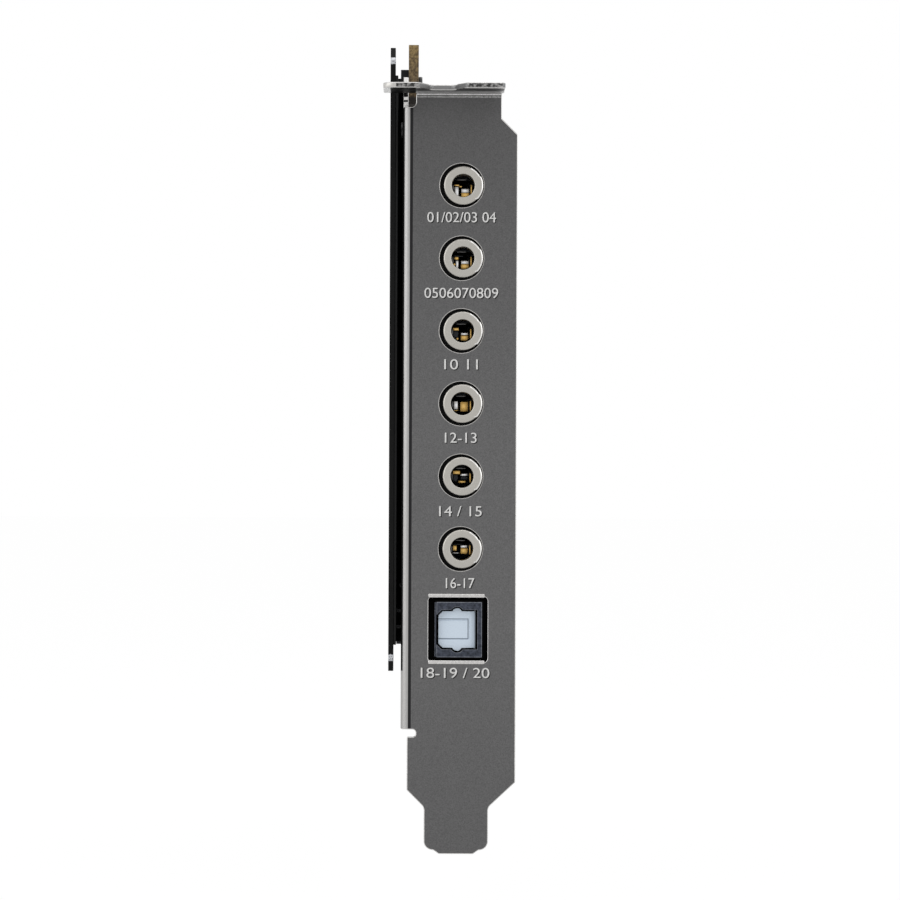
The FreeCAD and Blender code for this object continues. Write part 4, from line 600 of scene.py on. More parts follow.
def make_housing_material(name, dark, light):
    material, shader = new_material(name)
    place, mask = add_grain(shader, 0.4, 0.7)
    shade = housing_shade(*axes_of(place))
    feed(shader, {"Base Color": mix_colour(shade, mix_colour(mask, dark, light), (0.002, 0.002, 0.002)),
                  "Roughness": 0.6, "Specular IOR Level": ranged(shade, 0.25, 0.02)})
    return material


slate_housing = make_housing_material("slate_housing", (0.006, 0.009, 0.015), (0.052, 0.060, 0.084))
# a brighter slate for the bevel's faces of the nose, a painted highlight
nose_edge = make_housing_material("nose_edge", (0.07, 0.08, 0.10), (0.20, 0.21, 0.24))
print("housing finishes:", slate_housing.name, nose_edge.name)

# %% [markdown]
# ### The shutter
# It is moulded in a pale blue-grey, with a thin groove round its raised panel. Towards its hinge it rounds
# away from the light and grows dark.

# %% Pale plastic, dark at the hinge
HINGE_SHADE = (9.85 * MM, 10.1 * MM)
NEAR_HINGE = 9.2 * MM
GROOVE_SOFT = 0.03 * MM
GROOVE_LOW = (14.56 * MM, 14.68 * MM)
GROOVE_HIGH = (17.70 * MM, 17.82 * MM)
GROOVE_UPRIGHT = (8.84 * MM, 8.96 * MM)
GROOVE_END = (8.90 * MM, 8.95 * MM)


def groove_mask(x, z):
    """Mask of the painted shade in the three thin grooves round the panel, which is open to the left."""
    level = either([within(z, *line, GROOVE_SOFT) for line in (GROOVE_LOW, GROOVE_HIGH)])
    level = combine(level, ranged(x, 1.0, 0.0, *GROOVE_END))
    upright = combine(within(x, *GROOVE_UPRIGHT, GROOVE_SOFT),
                      within(z, GROOVE_LOW[0], GROOVE_HIGH[1], GROOVE_SOFT))
    return either([level, upright])


def make_shutter_material():
    material, shader = new_material("pale_plastic")
    place, mask = add_grain(shader, 0.14, 0.25)
    x, _, z = axes_of(place)
    pale = mix_colour(mask, (0.47, 0.55, 0.64), (0.60, 0.68, 0.765))
    pale = mix_colour(ranged(x, 0.0, 0.25, NEAR_HINGE, HINGE_SHADE[0]), pale, (0.10, 0.13, 0.17))
    # painted shade in the grooves
    pale = mix_colour(groove_mask(x, z), pale, (0.20, 0.24, 0.29))
    hinge = ranged(x, 0.0, 1.0, *HINGE_SHADE)
    feed(shader, {"Base Color": mix_colour(hinge, pale, (0.003, 0.003, 0.004)), "Roughness": 0.48,
                  "Specular IOR Level": ranged(hinge, 0.5, 0.03)})
    return material


pale_plastic = make_shutter_material()
print("shutter finish:", pale_plastic.name)

# %% [markdown]
# ### Dressing the frame's own pieces
# A node's mesh is loose triangles with perfectly sharp edges. Nothing real is that sharp, and a sharp edge
# never catches a highlight. Live modifiers mend it and leave the mesh itself alone: Weld joins the
# triangles, Decimate in its planar mode takes away the lines across flat faces, and Bevel breaks the edges.
# Weighted normals then keep large faces flat beside their small bevels. On the bracket and the optical
# housing the bevel's own faces get a second, brighter material, a painted highlight on the broken edges. The
# shutter is also drawn in by a tenth of a millimetre, with Displace, so that a dark gap shows all round it.

# %% Break the edges of a node
WELD_REACH = 0.002 * MM
FLAT_LIMIT = math.radians(1.0)
SHARP_LIMIT = math.radians(32)
BEVEL_SEGMENTS = 2
FLAT_WEIGHT = 50


def dress(node, material, bevel_mm, edge_material=None, shrink_mm=0.0, clamp=True):
    """Gives a node its material and, with modifiers, rounded edges."""
    piece = nodes[node]
    piece.data.materials.clear()
    piece.data.materials.append(material)
    if edge_material:
        piece.data.materials.append(edge_material)
    for face in piece.data.polygons:
        face.use_smooth = True
    weld = piece.modifiers.new("Weld", "WELD")
    weld.merge_threshold = WELD_REACH
    planar = piece.modifiers.new("Planar", "DECIMATE")
    planar.decimate_type = "DISSOLVE"
    planar.angle_limit = FLAT_LIMIT
    if shrink_mm:
        shrink = piece.modifiers.new("Shrink", "DISPLACE")
        shrink.strength = -shrink_mm * MM
        shrink.mid_level = 0.0
    bevel = piece.modifiers.new("Bevel", "BEVEL")
    bevel.width = bevel_mm * MM
    bevel.segments = BEVEL_SEGMENTS
    bevel.limit_method = "ANGLE"
    bevel.angle_limit = SHARP_LIMIT
    bevel.harden_normals = True
    bevel.use_clamp_overlap = clamp
    bevel.material = 1 if edge_material else -1
    flat = piece.modifiers.new("WeightedNormal", "WEIGHTED_NORMAL")
    flat.weight = FLAT_WEIGHT


DRESSING = {
    "circuit_board": (board_laminate, 0.05),
    "edge_contacts": (gold_plate, 0.015),
    "shutter_pin": (bright_steel, 0.05),
    "optical_transmitter": (dark_package, 0.05),
    "emi_backplate": (black_powder_coat, 0.06),
    "board_standoffs": (black_plastic, 0.06),
    "backplate_screws": (black_steel, 0.12),
    # the bracket's screws are plated steel, painted dark as painted shade
    "bracket_screws": (shaded_steel, 0.12),
    "insulating_sheet": (black_foam, 0.1),
    "audio_processor": (chip_resin, 0.05),
    "bridge_chip": (chip_resin, 0.05),
    "converter_chips": (chip_resin, 0.03),
    "input_converter": (chip_resin, 0.03),
    "headphone_amplifier": (chip_resin, 0.03),
    "op_amps": (chip_resin, 0.04),
    "op_amp_sockets": (black_plastic, 0.08),
    "crystals": (bright_steel, 0.12),
    "voltage_regulators": (chip_resin, 0.06),
    "power_inductors": (ferrite, 0.15),
    "output_relays": (relay_plastic, 0.2),
    "signal_capacitors": (gold_sleeve, 0.12),
    "supply_capacitors": (black_sleeve, 0.15),
    "ceramic_capacitors": (ceramic_tan, 0.04),
    "chip_resistors": (chip_resin, 0.03),
    "front_panel_header": (black_plastic, 0.08),
    "header_pins": (gold_plate, 0.05),
}
for node, (material, bevel_mm) in DRESSING.items():
    dress(node, material, bevel_mm)
# the bracket's bevel faces take the brighter nickel, a painted highlight
dress("bracket", satin_nickel_plate, 0.12, painted_highlight_nickel, clamp=False)
dress("optical_housing", slate_housing, 0.08, nose_edge)
dress("optical_shutter", pale_plastic, 0.03, shrink_mm=0.1)
for number in JACK_NUMBERS:
    dress(f"jack_{number}_housing", black_plastic, 0.1)
    dress(f"jack_{number}_contacts", dull_contact, 0.03)
print("dressed nodes:", len(DRESSING) + 3 + 2 * len(JACK_NUMBERS), "of", len(nodes))

# %% [markdown]
# ### Adding a piece
# A new piece is a bmesh whose vertices already lie at their true place, so its object stays at the origin.
# Every piece rides on a body.

# %% Make a piece from a bmesh
def add_piece(name, bm, materials, body="card", smooth=True):
    """Turns a bmesh into a finished object, with faces outward."""
    bmesh.ops.recalc_face_normals(bm, faces=bm.faces)
    mesh = bpy.data.meshes.new(name)
    bm.to_mesh(mesh)
    bm.free()
    for material in materials:
        mesh.materials.append(material)
    for face in mesh.polygons:
        face.use_smooth = smooth
    piece = bpy.data.objects.new(name, mesh)
    bpy.context.collection.objects.link(piece)
    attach(piece, body)
    return piece


def add_block(bm, low, high, round_mm=0.0, material=0, segments=2):
    """A box between two corners in metres, with rounded edges."""
    low, high = Vector(low), Vector(high)
    made = bmesh.ops.create_cube(bm, size=1.0)
    bmesh.ops.scale(bm, vec=high - low, verts=made["verts"])
    bmesh.ops.translate(bm, vec=(low + high) / 2, verts=made["verts"])
    for face in {face for vert in made["verts"] for face in vert.link_faces}:
        face.material_index = material
    if round_mm:
        edges = {edge for vert in made["verts"] for edge in vert.link_edges}
        bmesh.ops.bevel(bm, geom=list(edges), offset=round_mm * MM, segments=segments, profile=0.5,
                        affect="EDGES", clamp_overlap=True, material=material)


print("piece helpers ready")

# %% [markdown]
# ### The turned rings
# Each jack's ring is a turned tube with rounded rims and, on the side away from the board, a low lug that
# keeps it from turning in the plate. Spin carries a profile round the Y axis in steps of three degrees, the
# outer points are moved out a little where the lug is, and the ring is then moved to the jack's axis. On the
# lug's side the rim's faces take a brighter material, a painted highlight where the rim catches the light.

# %% Rings with a lug
RING_STEPS = 120
RING_BORE = 1.8 * MM
LUG_RISE = 0.13 * MM
LUG_SPAN = (-44, 28)
RIM_SPAN = (-48, 66)
RING_ROUND = 0.26 * MM
MOUTH_ROUND = 0.14 * MM
ROUND_TURNS = [math.radians(degrees) for degrees in (0, 30, 60, 90)]
RING_SHARP = math.radians(35)


def ring_profile(outer, front, back):
    """Radius and y of points from the bore's back end round the front and back along the outside."""
    mouth = [(RING_BORE + MOUTH_ROUND * (1 - math.cos(turn)), front + MOUTH_ROUND * (1 - math.sin(turn)))
             for turn in ROUND_TURNS]
    rim = [(outer - RING_ROUND * (1 - math.sin(turn)), front + RING_ROUND * (1 - math.cos(turn)))
           for turn in ROUND_TURNS]
    return [(RING_BORE, back), *mouth, *rim, (outer, back)]


def degrees_round(point):
    """How far round the Y axis a point lies, from -180 to 180."""
    return math.degrees(math.atan2(point.z, point.x))


def make_ring(number, axis):
    low, high = [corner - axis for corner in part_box(f"jack_{number}_ferrule")]
    outer = (high.z - low.z) / 2
    bm = bmesh.new()
    points = [bm.verts.new((radius, y, 0)) for radius, y in ring_profile(outer, low.y, high.y)]
    edges = [bm.edges.new(pair) for pair in zip(points, points[1:] + points[:1])]
    bmesh.ops.spin(bm, geom=points + edges, cent=(0, 0, 0), axis=(0, 1, 0), angle=math.tau, steps=RING_STEPS,
                   use_merge=True)
    for face in bm.faces:
        place = face.calc_center_median()
        on_rim = math.hypot(place.x, place.z) > outer - RING_ROUND and place.y < low.y + RING_ROUND
        # painted highlight on the rim, on the lug's side only
        if on_rim and RIM_SPAN[0] < degrees_round(place) < RIM_SPAN[1]:
            face.material_index = 1
    for vert in bm.verts:
        out = Vector((vert.co.x, 0, vert.co.z))
        if out.length > (RING_BORE + outer) / 2 and LUG_SPAN[0] < degrees_round(out) < LUG_SPAN[1]:
            vert.co += out.normalized() * LUG_RISE
    bmesh.ops.translate(bm, vec=axis, verts=bm.verts)
    ring = add_piece(f"jack_{number}_ring", bm, [ring_nickel, ring_rim_highlight])
    ring.data.set_sharp_from_angle(angle=RING_SHARP)
    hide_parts(f"jack_{number}_ferrule")


for number, axis in zip(JACK_NUMBERS, jack_axes):
    make_ring(number, axis)
print("rings:", len(jack_axes))

# %% [markdown]
# ### Ends of the contact springs
# Looking into a bore one sees the formed ends of the jack's springs: a bar across the top, a pale or gold
# leaf low on the board's side and a gilded block beside it. How they differ from jack to jack is painted
# light: the pale pieces are partly silver springs and partly painted highlights on the gilded blocks, and the
# dark pieces are painted shade. Each row below is one small formed end, measured from the bore's axis.

# %% Spring ends seen in the bores
# in the rows below, pale is partly a silver spring and partly a painted highlight, and dull is painted shade
PALE, GOLD, DULL, GREY = range(4)
COMMON_ENDS = [
    # finish, x from, x to, z from, z to, depth behind the ring, mm
    (GREY, -0.95, 0.60, 1.12, 1.34, 0.05),
    (GREY, -1.68, -1.42, -0.62, 0.45, 0.1),
    (GOLD, 1.22, 1.50, -1.10, 0.50, 0.3),
]
SPRING_ENDS = [
    [(GOLD, -1.38, -0.55, 0.22, 0.55, 0.5), (GOLD, -0.6, -0.1, 0.05, 0.35, 0.8),
     (PALE, -1.32, -0.64, -1.72, 0.16, 0.2), (PALE, -0.28, 1.05, -0.78, -0.10, 1.2),
     (GOLD, -0.28, 1.15, -1.62, -0.74, 1.2)],
    [(DULL, -1.40, 0.1, 0.45, 0.68, 0.3), (GOLD, -1.30, -0.62, -0.02, 0.50, 0.4),
     (PALE, -1.10, -0.62, -1.55, -0.10, 0.2), (GOLD, -1.5, -1.1, -0.95, -0.55, 0.3),
     (PALE, -0.28, 1.05, -0.68, -0.10, 1.2), (GOLD, -0.28, 1.05, -1.45, -0.64, 1.2),
     (PALE, 0.98, 1.35, -1.25, -0.80, 1.6)],
    [(GOLD, -1.50, -0.52, 0.18, 0.68, 0.3), (DULL, -1.50, -0.60, -0.95, 0.12, 0.3),
     (GOLD, -0.95, -0.58, -1.30, -0.90, 0.4), (PALE, -0.25, 0.95, -0.52, -0.10, 1.2),
     (GOLD, -0.25, 1.00, -1.40, -0.54, 1.2)],
    [(PALE, -1.32, -0.62, -0.88, 0.45, 0.2), (GOLD, -1.38, -0.55, -1.14, -0.96, 0.3),
     (GOLD, -0.30, 1.00, -1.25, 0.38, 1.2)],
    [(GOLD, -1.40, -0.22, 0.28, 0.86, 0.3), (DULL, -1.40, -0.60, -0.85, 0.20, 0.5),
     (PALE, -0.20, 0.95, 0.00, 0.40, 1.2), (DULL, -0.20, 0.95, -0.60, -0.02, 1.2),
     (GOLD, -0.60, 0.80, -1.16, -0.72, 2.0)],
    [(DULL, -1.30, 0.2, 0.52, 0.70, 0.3), (GOLD, -1.36, -0.70, -0.42, 0.42, 0.3),
     (PALE, -1.45, -0.35, -0.86, -0.68, 0.2), (PALE, -0.15, 0.95, 0.02, 0.48, 1.2),
     (GOLD, -0.15, 1.05, -0.95, 0.00, 1.2)],
]
END_THICK = 0.25 * MM


def make_spring_ends(number, axis, rows):
    ring_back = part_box(f"jack_{number}_ferrule")[1].y
    bm = bmesh.new()
    for kind, left, right, low, high, depth in rows:
        y = ring_back + depth * MM
        add_block(bm, (axis.x + left * MM, y, axis.z + low * MM),
                  (axis.x + right * MM, y + END_THICK, axis.z + high * MM), 0.07, kind)
    add_piece(f"jack_{number}_spring_ends", bm, [pale_contact_and_highlight, gold_plate, dull_contact, grey_contact])


for number, axis, rows in zip(JACK_NUMBERS, jack_axes, SPRING_ENDS):
    make_spring_ends(number, axis, COMMON_ENDS + rows)
print("spring ends:", sum(len(rows) for rows in SPRING_ENDS) + len(COMMON_ENDS) * len(SPRING_ENDS))

# %% [markdown]
# ### Beads and film
# The window for the optical socket has a pressed bead above and below. A thin black film lines the inner
# face of the black plate, from its front edge to the foam.

# %% Window beads and liner film
BEAD_SIDES = (2.62 * MM, 11.5 * MM)
BEAD_HEIGHTS = ((21.10 * MM, 21.72 * MM), (10.64 * MM, 11.26 * MM))
BEAD_RISE = 0.1 * MM
BEAD_ROOT = 0.2 * MM
LINER_THICK = 0.42 * MM
LINER_INSET = 0.15 * MM

# the beads are in the brighter edge nickel, a painted highlight
bm = bmesh.new()
for low, high in BEAD_HEIGHTS:
    add_block(bm, (BEAD_SIDES[0], plate_front - BEAD_RISE, low),
              (BEAD_SIDES[1], plate_front + BEAD_ROOT, high), 0.3, segments=4)
add_piece("window_beads", bm, [painted_highlight_nickel])

cover_low, cover_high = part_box("emi_backplate")
foam_low, foam_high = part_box("insulating_sheet")
bm = bmesh.new()
add_block(bm, (cover_high.x, cover_low.y + LINER_INSET, foam_low.z),
          (cover_high.x + LINER_THICK, foam_low.y, foam_high.z), 0.08)
add_piece("liner_film", bm, [liner_film])
print("beads and film added")

# %% [markdown]
# ### The shutter's spring
# The bent leaf behind the shutter is pressed flat against the housing's wall as the shutter opens. The piece
# that stands for it is a thin section extruded along the leaf's path, point by point. The tracks on the board
# are made in the same way further on.

# %% Leaf spring behind the shutter
LEAF_PATH = [
    # x, y, mm, from the end that is held to the end behind the shutter
    (10.795, -51.91), (10.795, -55.12), (10.74, -55.32), (10.56, -55.48), (10.50, -55.50), (7.17, -56.585),
]
LEAF_THICK = 0.15 * MM
LEAF_STEPS = 6


def both_sides(line, half):
    """For each point of a flat line, the two points beside it."""
    pairs = []
    for place, point in enumerate(line):
        along = line[min(place + 1, len(line) - 1)] - line[max(place - 1, 0)]
        side = Vector((-along.y, along.x)).normalized() * half
        pairs.append((point + side, point - side))
    return pairs


def sweep(bm, sections):
    """Extrudes a face along a path; each section is the places of its corners at one point."""
    start = end = bm.faces.new([bm.verts.new(corner) for corner in sections[0]])
    for section in sections[1:]:
        made = bmesh.ops.extrude_face_region(bm, geom=[end])["geom"]
        if end is not start:
            bmesh.ops.delete(bm, geom=[end], context="FACES_ONLY")
        end = next(item for item in made if isinstance(item, bmesh.types.BMFace))
        for vert, corner in zip(end.verts, section):
            vert.co = corner


def make_leaf():
    low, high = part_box("shutter_spring")
    rough = [Vector(point) * MM for point in LEAF_PATH]
    line = [first.lerp(last, step / LEAF_STEPS) for first, last in zip(rough, rough[1:])
            for step in range(LEAF_STEPS)] + rough[-1:]
    bm = bmesh.new()
    sweep(bm, [[(*a, low.z), (*a, high.z), (*b, high.z), (*b, low.z)]
               for a, b in both_sides(line, LEAF_THICK / 2)])
    leaf = add_piece("shutter_leaf_spring", bm, [bright_steel], smooth=False)
    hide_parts("shutter_spring")
    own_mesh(leaf)


make_leaf()
print("leaf spring added")

# %% [markdown]
# ### Cans, chips and their joints
# An electrolytic capacitor has a bare aluminium top inside the rolled end of its sleeve, with a scored
# cross, and a stripe down one side. Chips have a round mark by their first pin and tinned joints along
# their sides. Each of these lies on the box of its own solid.

# %% Tops of the capacitors
CANS = ("signal_capacitors", "supply_capacitors")
ROLLED_END = 0.55 * MM
TOP_THICK = 0.12 * MM
SCORE_SHARE = 0.55
SCORE_HALF = 0.09 * MM
SCORE_HEIGHTS = (0.05 * MM, 0.075 * MM)
STRIPE_SHARE = 0.45
STRIPE_DEPTHS = (0.9 * MM, 0.35 * MM)
STRIPE_SINK = 0.38 * MM
STRIPE_RISE = 0.03 * MM


def add_disc(bm, x, y, z, radius, thick, material=0, steps=48):
    """A disc that faces along X."""
    made = bmesh.ops.create_cone(bm, cap_ends=True, segments=steps, radius1=radius, radius2=radius,
                                 depth=thick)
    bmesh.ops.rotate(bm, cent=(0, 0, 0), matrix=Matrix.Rotation(math.pi / 2, 3, "Y"), verts=made["verts"])
    bmesh.ops.translate(bm, vec=(x, y, z), verts=made["verts"])
    for face in {face for vert in made["verts"] for face in vert.link_faces}:
        face.material_index = material


def add_cross(bm, centre, heights, long, wide, material=0):
    """Two crossed bars that face along X, between two heights; long and wide are half sizes."""
    for y_half, z_half in ((long, wide), (wide, long)):
        add_block(bm, (heights[0], centre.y - y_half, centre.z - z_half),
                  (heights[1], centre.y + y_half, centre.z + z_half), material=material)


cans = [box for node in CANS for box in solids_of(node)]
bm = bmesh.new()
for low, high in cans:
    centre = (low + high) / 2
    radius = (high.z - low.z) / 2
    add_disc(bm, high.x, centre.y, centre.z, radius - ROLLED_END, TOP_THICK)
    # the score is drawn as a raised dark cross, painted shade in the groove
    add_cross(bm, centre, [high.x + height for height in SCORE_HEIGHTS], radius * SCORE_SHARE, SCORE_HALF, 1)
    stripe = radius * STRIPE_SHARE
    add_block(bm, (high.x - STRIPE_DEPTHS[0], centre.y - stripe, high.z - STRIPE_SINK),
              (high.x - STRIPE_DEPTHS[1], centre.y + stripe, high.z + STRIPE_RISE), material=2)
add_piece("capacitor_tops", bm, [bare_aluminium, shaded_steel, black_plastic], smooth=False)
print("capacitor tops:", len(cans))

# %% Joints and first-pin marks of the chips
CHIPS = {
    # node: joints along each of its y sides, and along each of its z sides
    "audio_processor": (25, 25),
    "bridge_chip": (14, 14),
    "converter_chips": (0, 14),
    "input_converter": (0, 14),
    "headphone_amplifier": (0, 10),
}
MARK_INSET = 1.1 * MM
MARK_RADIUS = 0.35 * MM
MARK_THICK = 0.03 * MM
JOINT_INSIDE = 0.1 * MM
JOINT_REACH = 0.75 * MM
JOINT_THICK = 0.14 * MM
JOINT_HALF = 0.18 * MM
JOINT_SHARE = 0.3
board_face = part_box("circuit_board")[1].x


def add_joints(bm, low, high, count, side):
    """Rows of joints along two edges of a chip; side is 1 for rows along Y and 2 for rows along Z."""
    across = 3 - side
    pitch = (high[side] - low[side]) / (count + 1)
    half = min(JOINT_HALF, pitch * JOINT_SHARE)
    for place in range(count):
        middle_at = low[side] + pitch * (place + 1)
        for edge, outward in ((low[across], -1), (high[across], 1)):
            reach = sorted((edge - JOINT_INSIDE * outward, edge + JOINT_REACH * outward))
            first, last = Vector((board_face, 0, 0)), Vector((board_face + JOINT_THICK, 0, 0))
            first[side], last[side] = middle_at - half, middle_at + half
            first[across], last[across] = reach
            add_block(bm, first, last)


bm = bmesh.new()
for node, counts in CHIPS.items():
    for low, high in solids_of(node):
        add_disc(bm, high.x, low.y + MARK_INSET, high.z - MARK_INSET, MARK_RADIUS, MARK_THICK, 1, 24)
        for side, count in enumerate(counts, start=1):
            add_joints(bm, low, high, count, side)
add_piece("chip_joints", bm, [tinned, solder_mask_ink], smooth=False)
print("kinds of chips with joints:", len(CHIPS))

# %% Crosses in the screw heads
CROSS_LONG = 1.15 * MM
CROSS_WIDE = 0.28 * MM
CROSS_HEIGHTS = (-0.05 * MM, 0.012 * MM)

screws = solids_of("backplate_screws") + solids_of("bracket_screws")
# each screw's cross recess is a thin black cross, painted shade in the recess
bm = bmesh.new()
for low, high in screws:
    add_cross(bm, (low + high) / 2, [high.x + height for height in CROSS_HEIGHTS], CROSS_LONG, CROSS_WIDE)
add_piece("screw_crosses", bm, [liner_film], smooth=False)
print("screw heads with a cross:", len(screws))

# %% [markdown]
# ### Tracks under the mask
# Copper shows through the solder mask as low ridges. Each bundle below is a run of parallel tracks with
# mitred corners, from one component towards another, and ends in small plated holes. A track is a low
# section that is swept along its points.

# %% Track bundles
TRACK_WIDE = 0.22 * MM
TRACK_RISE = 0.025 * MM
TRACK_SINK = 0.01 * MM
HOLE_RADIUS = 0.26 * MM
HOLE_THICK = 0.07 * MM
BUNDLES = [
    # points (y, z) of the first track, mm, step of the next (y, z), how many
    ([(-30, 46.5), (-14, 46.5), (-8, 44.0), (-3.4, 44.0)], (0, 0.6), 6),
    ([(-30, 64.0), (-16, 64.0), (-9, 50.0), (-3.4, 50.0)], (0, 0.6), 5),
    ([(-27, 84.5), (-8, 84.5), (-3, 82.0), (-2.6, 82.0)], (0, 0.7), 4),
    ([(4.6, 66.5), (7.5, 66.5), (9.0, 68.0), (9.0, 74.0), (10.5, 75.5)], (0.6, 0), 5),
    ([(15.3, 46.5), (18.5, 46.5), (20.0, 50.0), (20.8, 50.0)], (0, 0.6), 4),
    ([(15.3, 41.0), (30.0, 41.0), (44.0, 30.0), (68.0, 30.0)], (0, 0.9), 4),
    ([(18.0, 73.0), (40.0, 73.0), (48.0, 80.0), (55.0, 80.0)], (0, 0.9), 4),
    ([(6.0, 37.6), (6.0, 30.5), (4.0, 28.4)], (0.6, 0), 6),
    ([(-9.0, 11.5), (-9.0, 14.0), (-1.5, 17.4)], (1.0, 0), 6),
    ([(1.5, 11.0), (1.5, 17.4)], (1.0, 0), 5),
    ([(-29.0, 24.0), (-26.0, 24.0), (-25.4, 23.4)], (0, -0.7), 4),
    ([(79.0, 28.5), (82.0, 28.5), (84.0, 30.0)], (0, 0.7), 3),
    ([(79.0, 42.5), (82.0, 42.5), (84.0, 44.0)], (0, 0.7), 3),
    ([(79.0, 56.5), (82.0, 56.5), (84.0, 58.0)], (0, 0.7), 3),
    ([(65.0, 76.0), (88.0, 76.0), (98.0, 67.0), (99.0, 67.0)], (0, 0.8), 5),
]

bm = bmesh.new()
bottom, top = board_face - TRACK_SINK, board_face + TRACK_RISE
for points, step, count in BUNDLES:
    for number in range(count):
        shift = Vector(step) * number
        track = [(Vector(point) + shift) * MM for point in points]
        sweep(bm, [[(bottom, *a), (top, *a), (top, *b), (bottom, *b)]
                   for a, b in both_sides(track, TRACK_WIDE / 2)])
        for end in (track[0], track[-1]):
            add_disc(bm, board_face, end.x, end.y, HOLE_RADIUS, HOLE_THICK, 1, 12)
add_piece("board_tracks", bm, [track_copper, tinned], smooth=False)
print("track bundles:", len(BUNDLES))

# %% [markdown]
# ### Raised figures under the ports
# Each port has a caption raised from the plate, plain figures here, brighter than the plate as a painted
# highlight. A text object in the built-in font gives the outlines. It is extruded, bevelled and made a mesh,
# and the mesh is turned to face the front and moved to its place, so that the piece's own object sits at the
# origin. A dark copy beside it gives its painted shade.

# %% Raise the captions
CAPTION_CAP = 1.62 * MM
FONT_CAP_SHARE = 0.7
CAPTION_RAISE = 0.05 * MM
CAPTION_ROUND = 0.03 * MM
CAPTION_THINNED = -0.025 * MM
SHADE_SHIFT = (0.15 * MM, 0.03 * MM, -0.13 * MM)
CAPTIONS = [
    # figures, middle x, middle z, width, mm
    ("01/02/03 04", 7.62, 80.93, 10.8),
    ("0506070809", 7.62, 69.02, 11.6),
    ("10 11", 7.62, 57.80, 5.3),
    ("12-13", 7.62, 46.26, 5.0),
    ("14 / 15", 7.62, 34.71, 6.7),
    ("16-17", 7.62, 23.40, 4.5),
    ("18-19 / 20", 6.88, 9.28, 10.8),
]


def stamp(text, x, z, width, name):
    """A caption of a given width, centred at x and z on the plate's front face."""
    curve = bpy.data.curves.new(name, "FONT")
    curve.body = text
    curve.size = CAPTION_CAP / FONT_CAP_SHARE
    curve.align_x = "CENTER"
    curve.align_y = "CENTER"
    curve.offset = CAPTION_THINNED
    curve.extrude = CAPTION_RAISE
    curve.bevel_depth = CAPTION_ROUND
    curve.bevel_resolution = 1
    flat = bpy.data.objects.new(name, curve)
    bpy.context.collection.objects.link(flat)
    mesh = bpy.data.meshes.new_from_object(flat)
    bpy.data.objects.remove(flat)
    across = [vertex.co.x for vertex in mesh.vertices]
    up = [vertex.co.y for vertex in mesh.vertices]
    stretch = width / (max(across) - min(across))
    mesh.transform(Matrix.Translation((x, plate_front, z)) @ Matrix.Rotation(math.pi / 2, 4, "X")
                   @ Matrix.Diagonal((stretch, 1.0, 1.0, 1.0))
                   @ Matrix.Translation((-(max(across) + min(across)) / 2, -(max(up) + min(up)) / 2, 0)))
    bm = bmesh.new()
    bm.from_mesh(mesh)
    made = bmesh.ops.duplicate(bm, geom=list(bm.faces))["geom"]
    shade_faces = [item for item in made if isinstance(item, bmesh.types.BMFace)]
    shade_verts = [item for item in made if isinstance(item, bmesh.types.BMVert)]
    bmesh.ops.translate(bm, vec=SHADE_SHIFT, verts=shade_verts)
    for face in bm.faces:
        face.material_index = 0
    for face in shade_faces:
        face.material_index = 1
    bpy.data.meshes.remove(mesh)
    add_piece(name, bm, [caption_highlight_nickel, caption_shade], smooth=False)
    return stretch


for number, (text, x, z, width) in enumerate(CAPTIONS, start=1):
    stretch = stamp(text, x * MM, z * MM, width * MM, f"caption_{number}")
    print("caption", number, "stretch", round(stretch, 2))

# %% [markdown]
# ### Floor, backdrop and light
# The card is held upright, so the floor lies a little below the tongue. Floor and world are white to the
# camera and to reflections, through Light Path, while the light that falls on the card stays at a plain
# level. Soft lamps left and right brighten the broken edges.

# %% Floor
FLOOR_GAP = 9 * MM
FLOOR_HALF = 4.0
FLOOR_GLOW = 1.02
FLOOR_SHARE = 0.93
floor_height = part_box("bracket")[0].z - FLOOR_GAP


def seen_directly(rays):
    """One for rays from the camera and for those that it sees in metal or through glass."""
    total = rays.outputs["Is Camera Ray"]
    for name in ("Is Glossy Ray", "Is Transmission Ray"):
        total = combine(total, rays.outputs[name], "MAXIMUM")
    return total


def make_floor():
    bm = bmesh.new()
    bmesh.ops.create_grid(bm, x_segments=1, y_segments=1, size=FLOOR_HALF)
    bmesh.ops.translate(bm, vec=(0, 0, floor_height), verts=bm.verts)
    mesh = bpy.data.meshes.new("floor")
    bm.to_mesh(mesh)
    bm.free()
    floor = bpy.data.objects.new("floor", mesh)
    bpy.context.collection.objects.link(floor)
    material, shader = new_material("pale_floor")
    feed(shader, {"Base Color": (0.8, 0.8, 0.8, 1), "Roughness": 0.9})
    tree = material.node_tree
    rays = tree.nodes.new("ShaderNodeLightPath")
    white = tree.nodes.new("ShaderNodeEmission")
    white.inputs["Strength"].default_value = FLOOR_GLOW
    both = tree.nodes.new("ShaderNodeMixShader")
    tree.links.new(ranged(seen_directly(rays), 0.0, FLOOR_SHARE), both.inputs["Fac"])
    tree.links.new(shader.outputs["BSDF"], both.inputs[1])
    tree.links.new(white.outputs["Emission"], both.inputs[2])
    tree.links.new(both.outputs["Shader"], tree.nodes["Material Output"].inputs["Surface"])
    mesh.materials.append(material)
    floor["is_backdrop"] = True


make_floor()
print("floor at z, mm:", round(floor_height / MM, 1))

# %% World
WORLD_LEVEL = 0.75


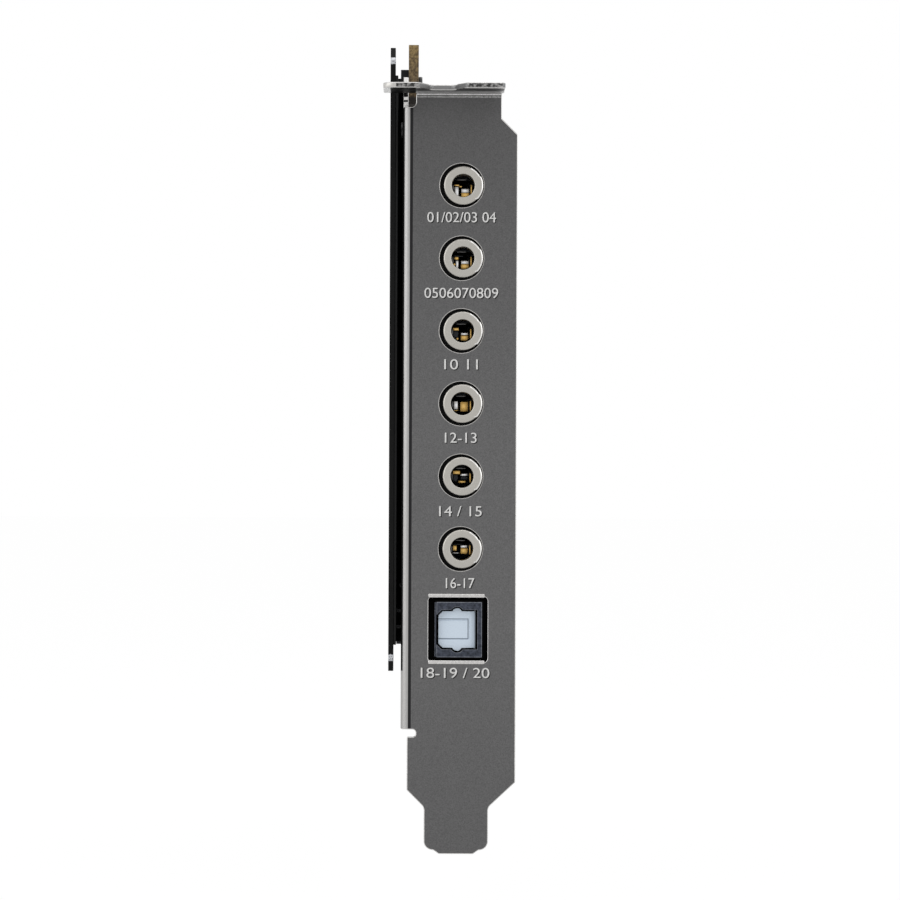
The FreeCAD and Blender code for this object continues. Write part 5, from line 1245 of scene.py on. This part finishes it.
def make_world():
    world = bpy.data.worlds.new("studio")
    bpy.context.scene.world = world
    world.use_nodes = True
    tree = world.node_tree
    soft = tree.nodes["Background"]
    soft.inputs["Color"].default_value = (1, 1, 1, 1)
    soft.inputs["Strength"].default_value = WORLD_LEVEL
    white = tree.nodes.new("ShaderNodeBackground")
    white.inputs["Color"].default_value = (1, 1, 1, 1)
    white.inputs["Strength"].default_value = 1.0
    rays = tree.nodes.new("ShaderNodeLightPath")
    both = tree.nodes.new("ShaderNodeMixShader")
    tree.links.new(seen_directly(rays), both.inputs["Fac"])
    tree.links.new(soft.outputs["Background"], both.inputs[1])
    tree.links.new(white.outputs["Background"], both.inputs[2])
    tree.links.new(both.outputs["Shader"], tree.nodes["World Output"].inputs["Surface"])


make_world()
print("world level:", WORLD_LEVEL)

# %% Lamps
def add_lamp(name, place_mm, aim_mm, size_mm, power):
    """A rectangular soft lamp that faces a point."""
    light = bpy.data.lights.new(name, "AREA")
    light.shape = "RECTANGLE"
    light.size, light.size_y = (value * MM for value in size_mm)
    light.energy = power
    lamp = bpy.data.objects.new(name, light)
    bpy.context.collection.objects.link(lamp)
    place = Vector(place_mm) * MM
    lamp.location = place
    lamp.rotation_euler = (Vector(aim_mm) * MM - place).to_track_quat("-Z", "Y").to_euler()
    return lamp


CARD_CENTRE = (6, -40, 45)
add_lamp("left_soft", (-800, -400, 160), CARD_CENTRE, (800, 1100), 4.0)
add_lamp("right_soft", (800, -340, 120), CARD_CENTRE, (800, 1100), 3.2)
add_lamp("top_soft", (40, -280, 900), CARD_CENTRE, (900, 700), 2.6)
print("lamps:", len(bpy.data.lights))

# %% [markdown]
# ### Camera
# The photograph was taken square on, from far away, with a long lens. The camera stands 700 mm in front of
# the plate at the height of its middle, in line with the board. The card is off to the right of that line,
# so the lens is shifted a little, and the camera is turned by a quarter of a degree about its own axis.

# %% Long lens, square on
SENSOR = 36.0
PICTURE_SIDE = 900
PIXELS_PER_MM = 6.36
CAMERA_DISTANCE = 700.0
AXIS_PIXEL_X = 412.2
CAMERA_X = 0.0
CAMERA_Z = 44.3
CAMERA_ROLL = -0.24

camera_data = bpy.data.cameras.new("camera")
camera_data.sensor_width = SENSOR
camera_data.lens = SENSOR * CAMERA_DISTANCE * PIXELS_PER_MM / PICTURE_SIDE
camera_data.shift_x = (PICTURE_SIDE / 2 - AXIS_PIXEL_X) / PICTURE_SIDE
camera_data.clip_start = 0.01
camera_data.clip_end = 50
camera = bpy.data.objects.new("camera", camera_data)
bpy.context.collection.objects.link(camera)
camera.location = (CAMERA_X * MM, plate_front - CAMERA_DISTANCE * MM, CAMERA_Z * MM)
camera.rotation_euler = (math.pi / 2, math.radians(CAMERA_ROLL), 0)
bpy.context.scene.camera = camera
print("lens, mm:", round(camera_data.lens, 1))

# %% Picture settings and measured boxes
bpy.context.scene.view_settings.view_transform = "Standard"
low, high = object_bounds()
print("visual box, mm:", [round(v / MM, 2) for v in high - low])
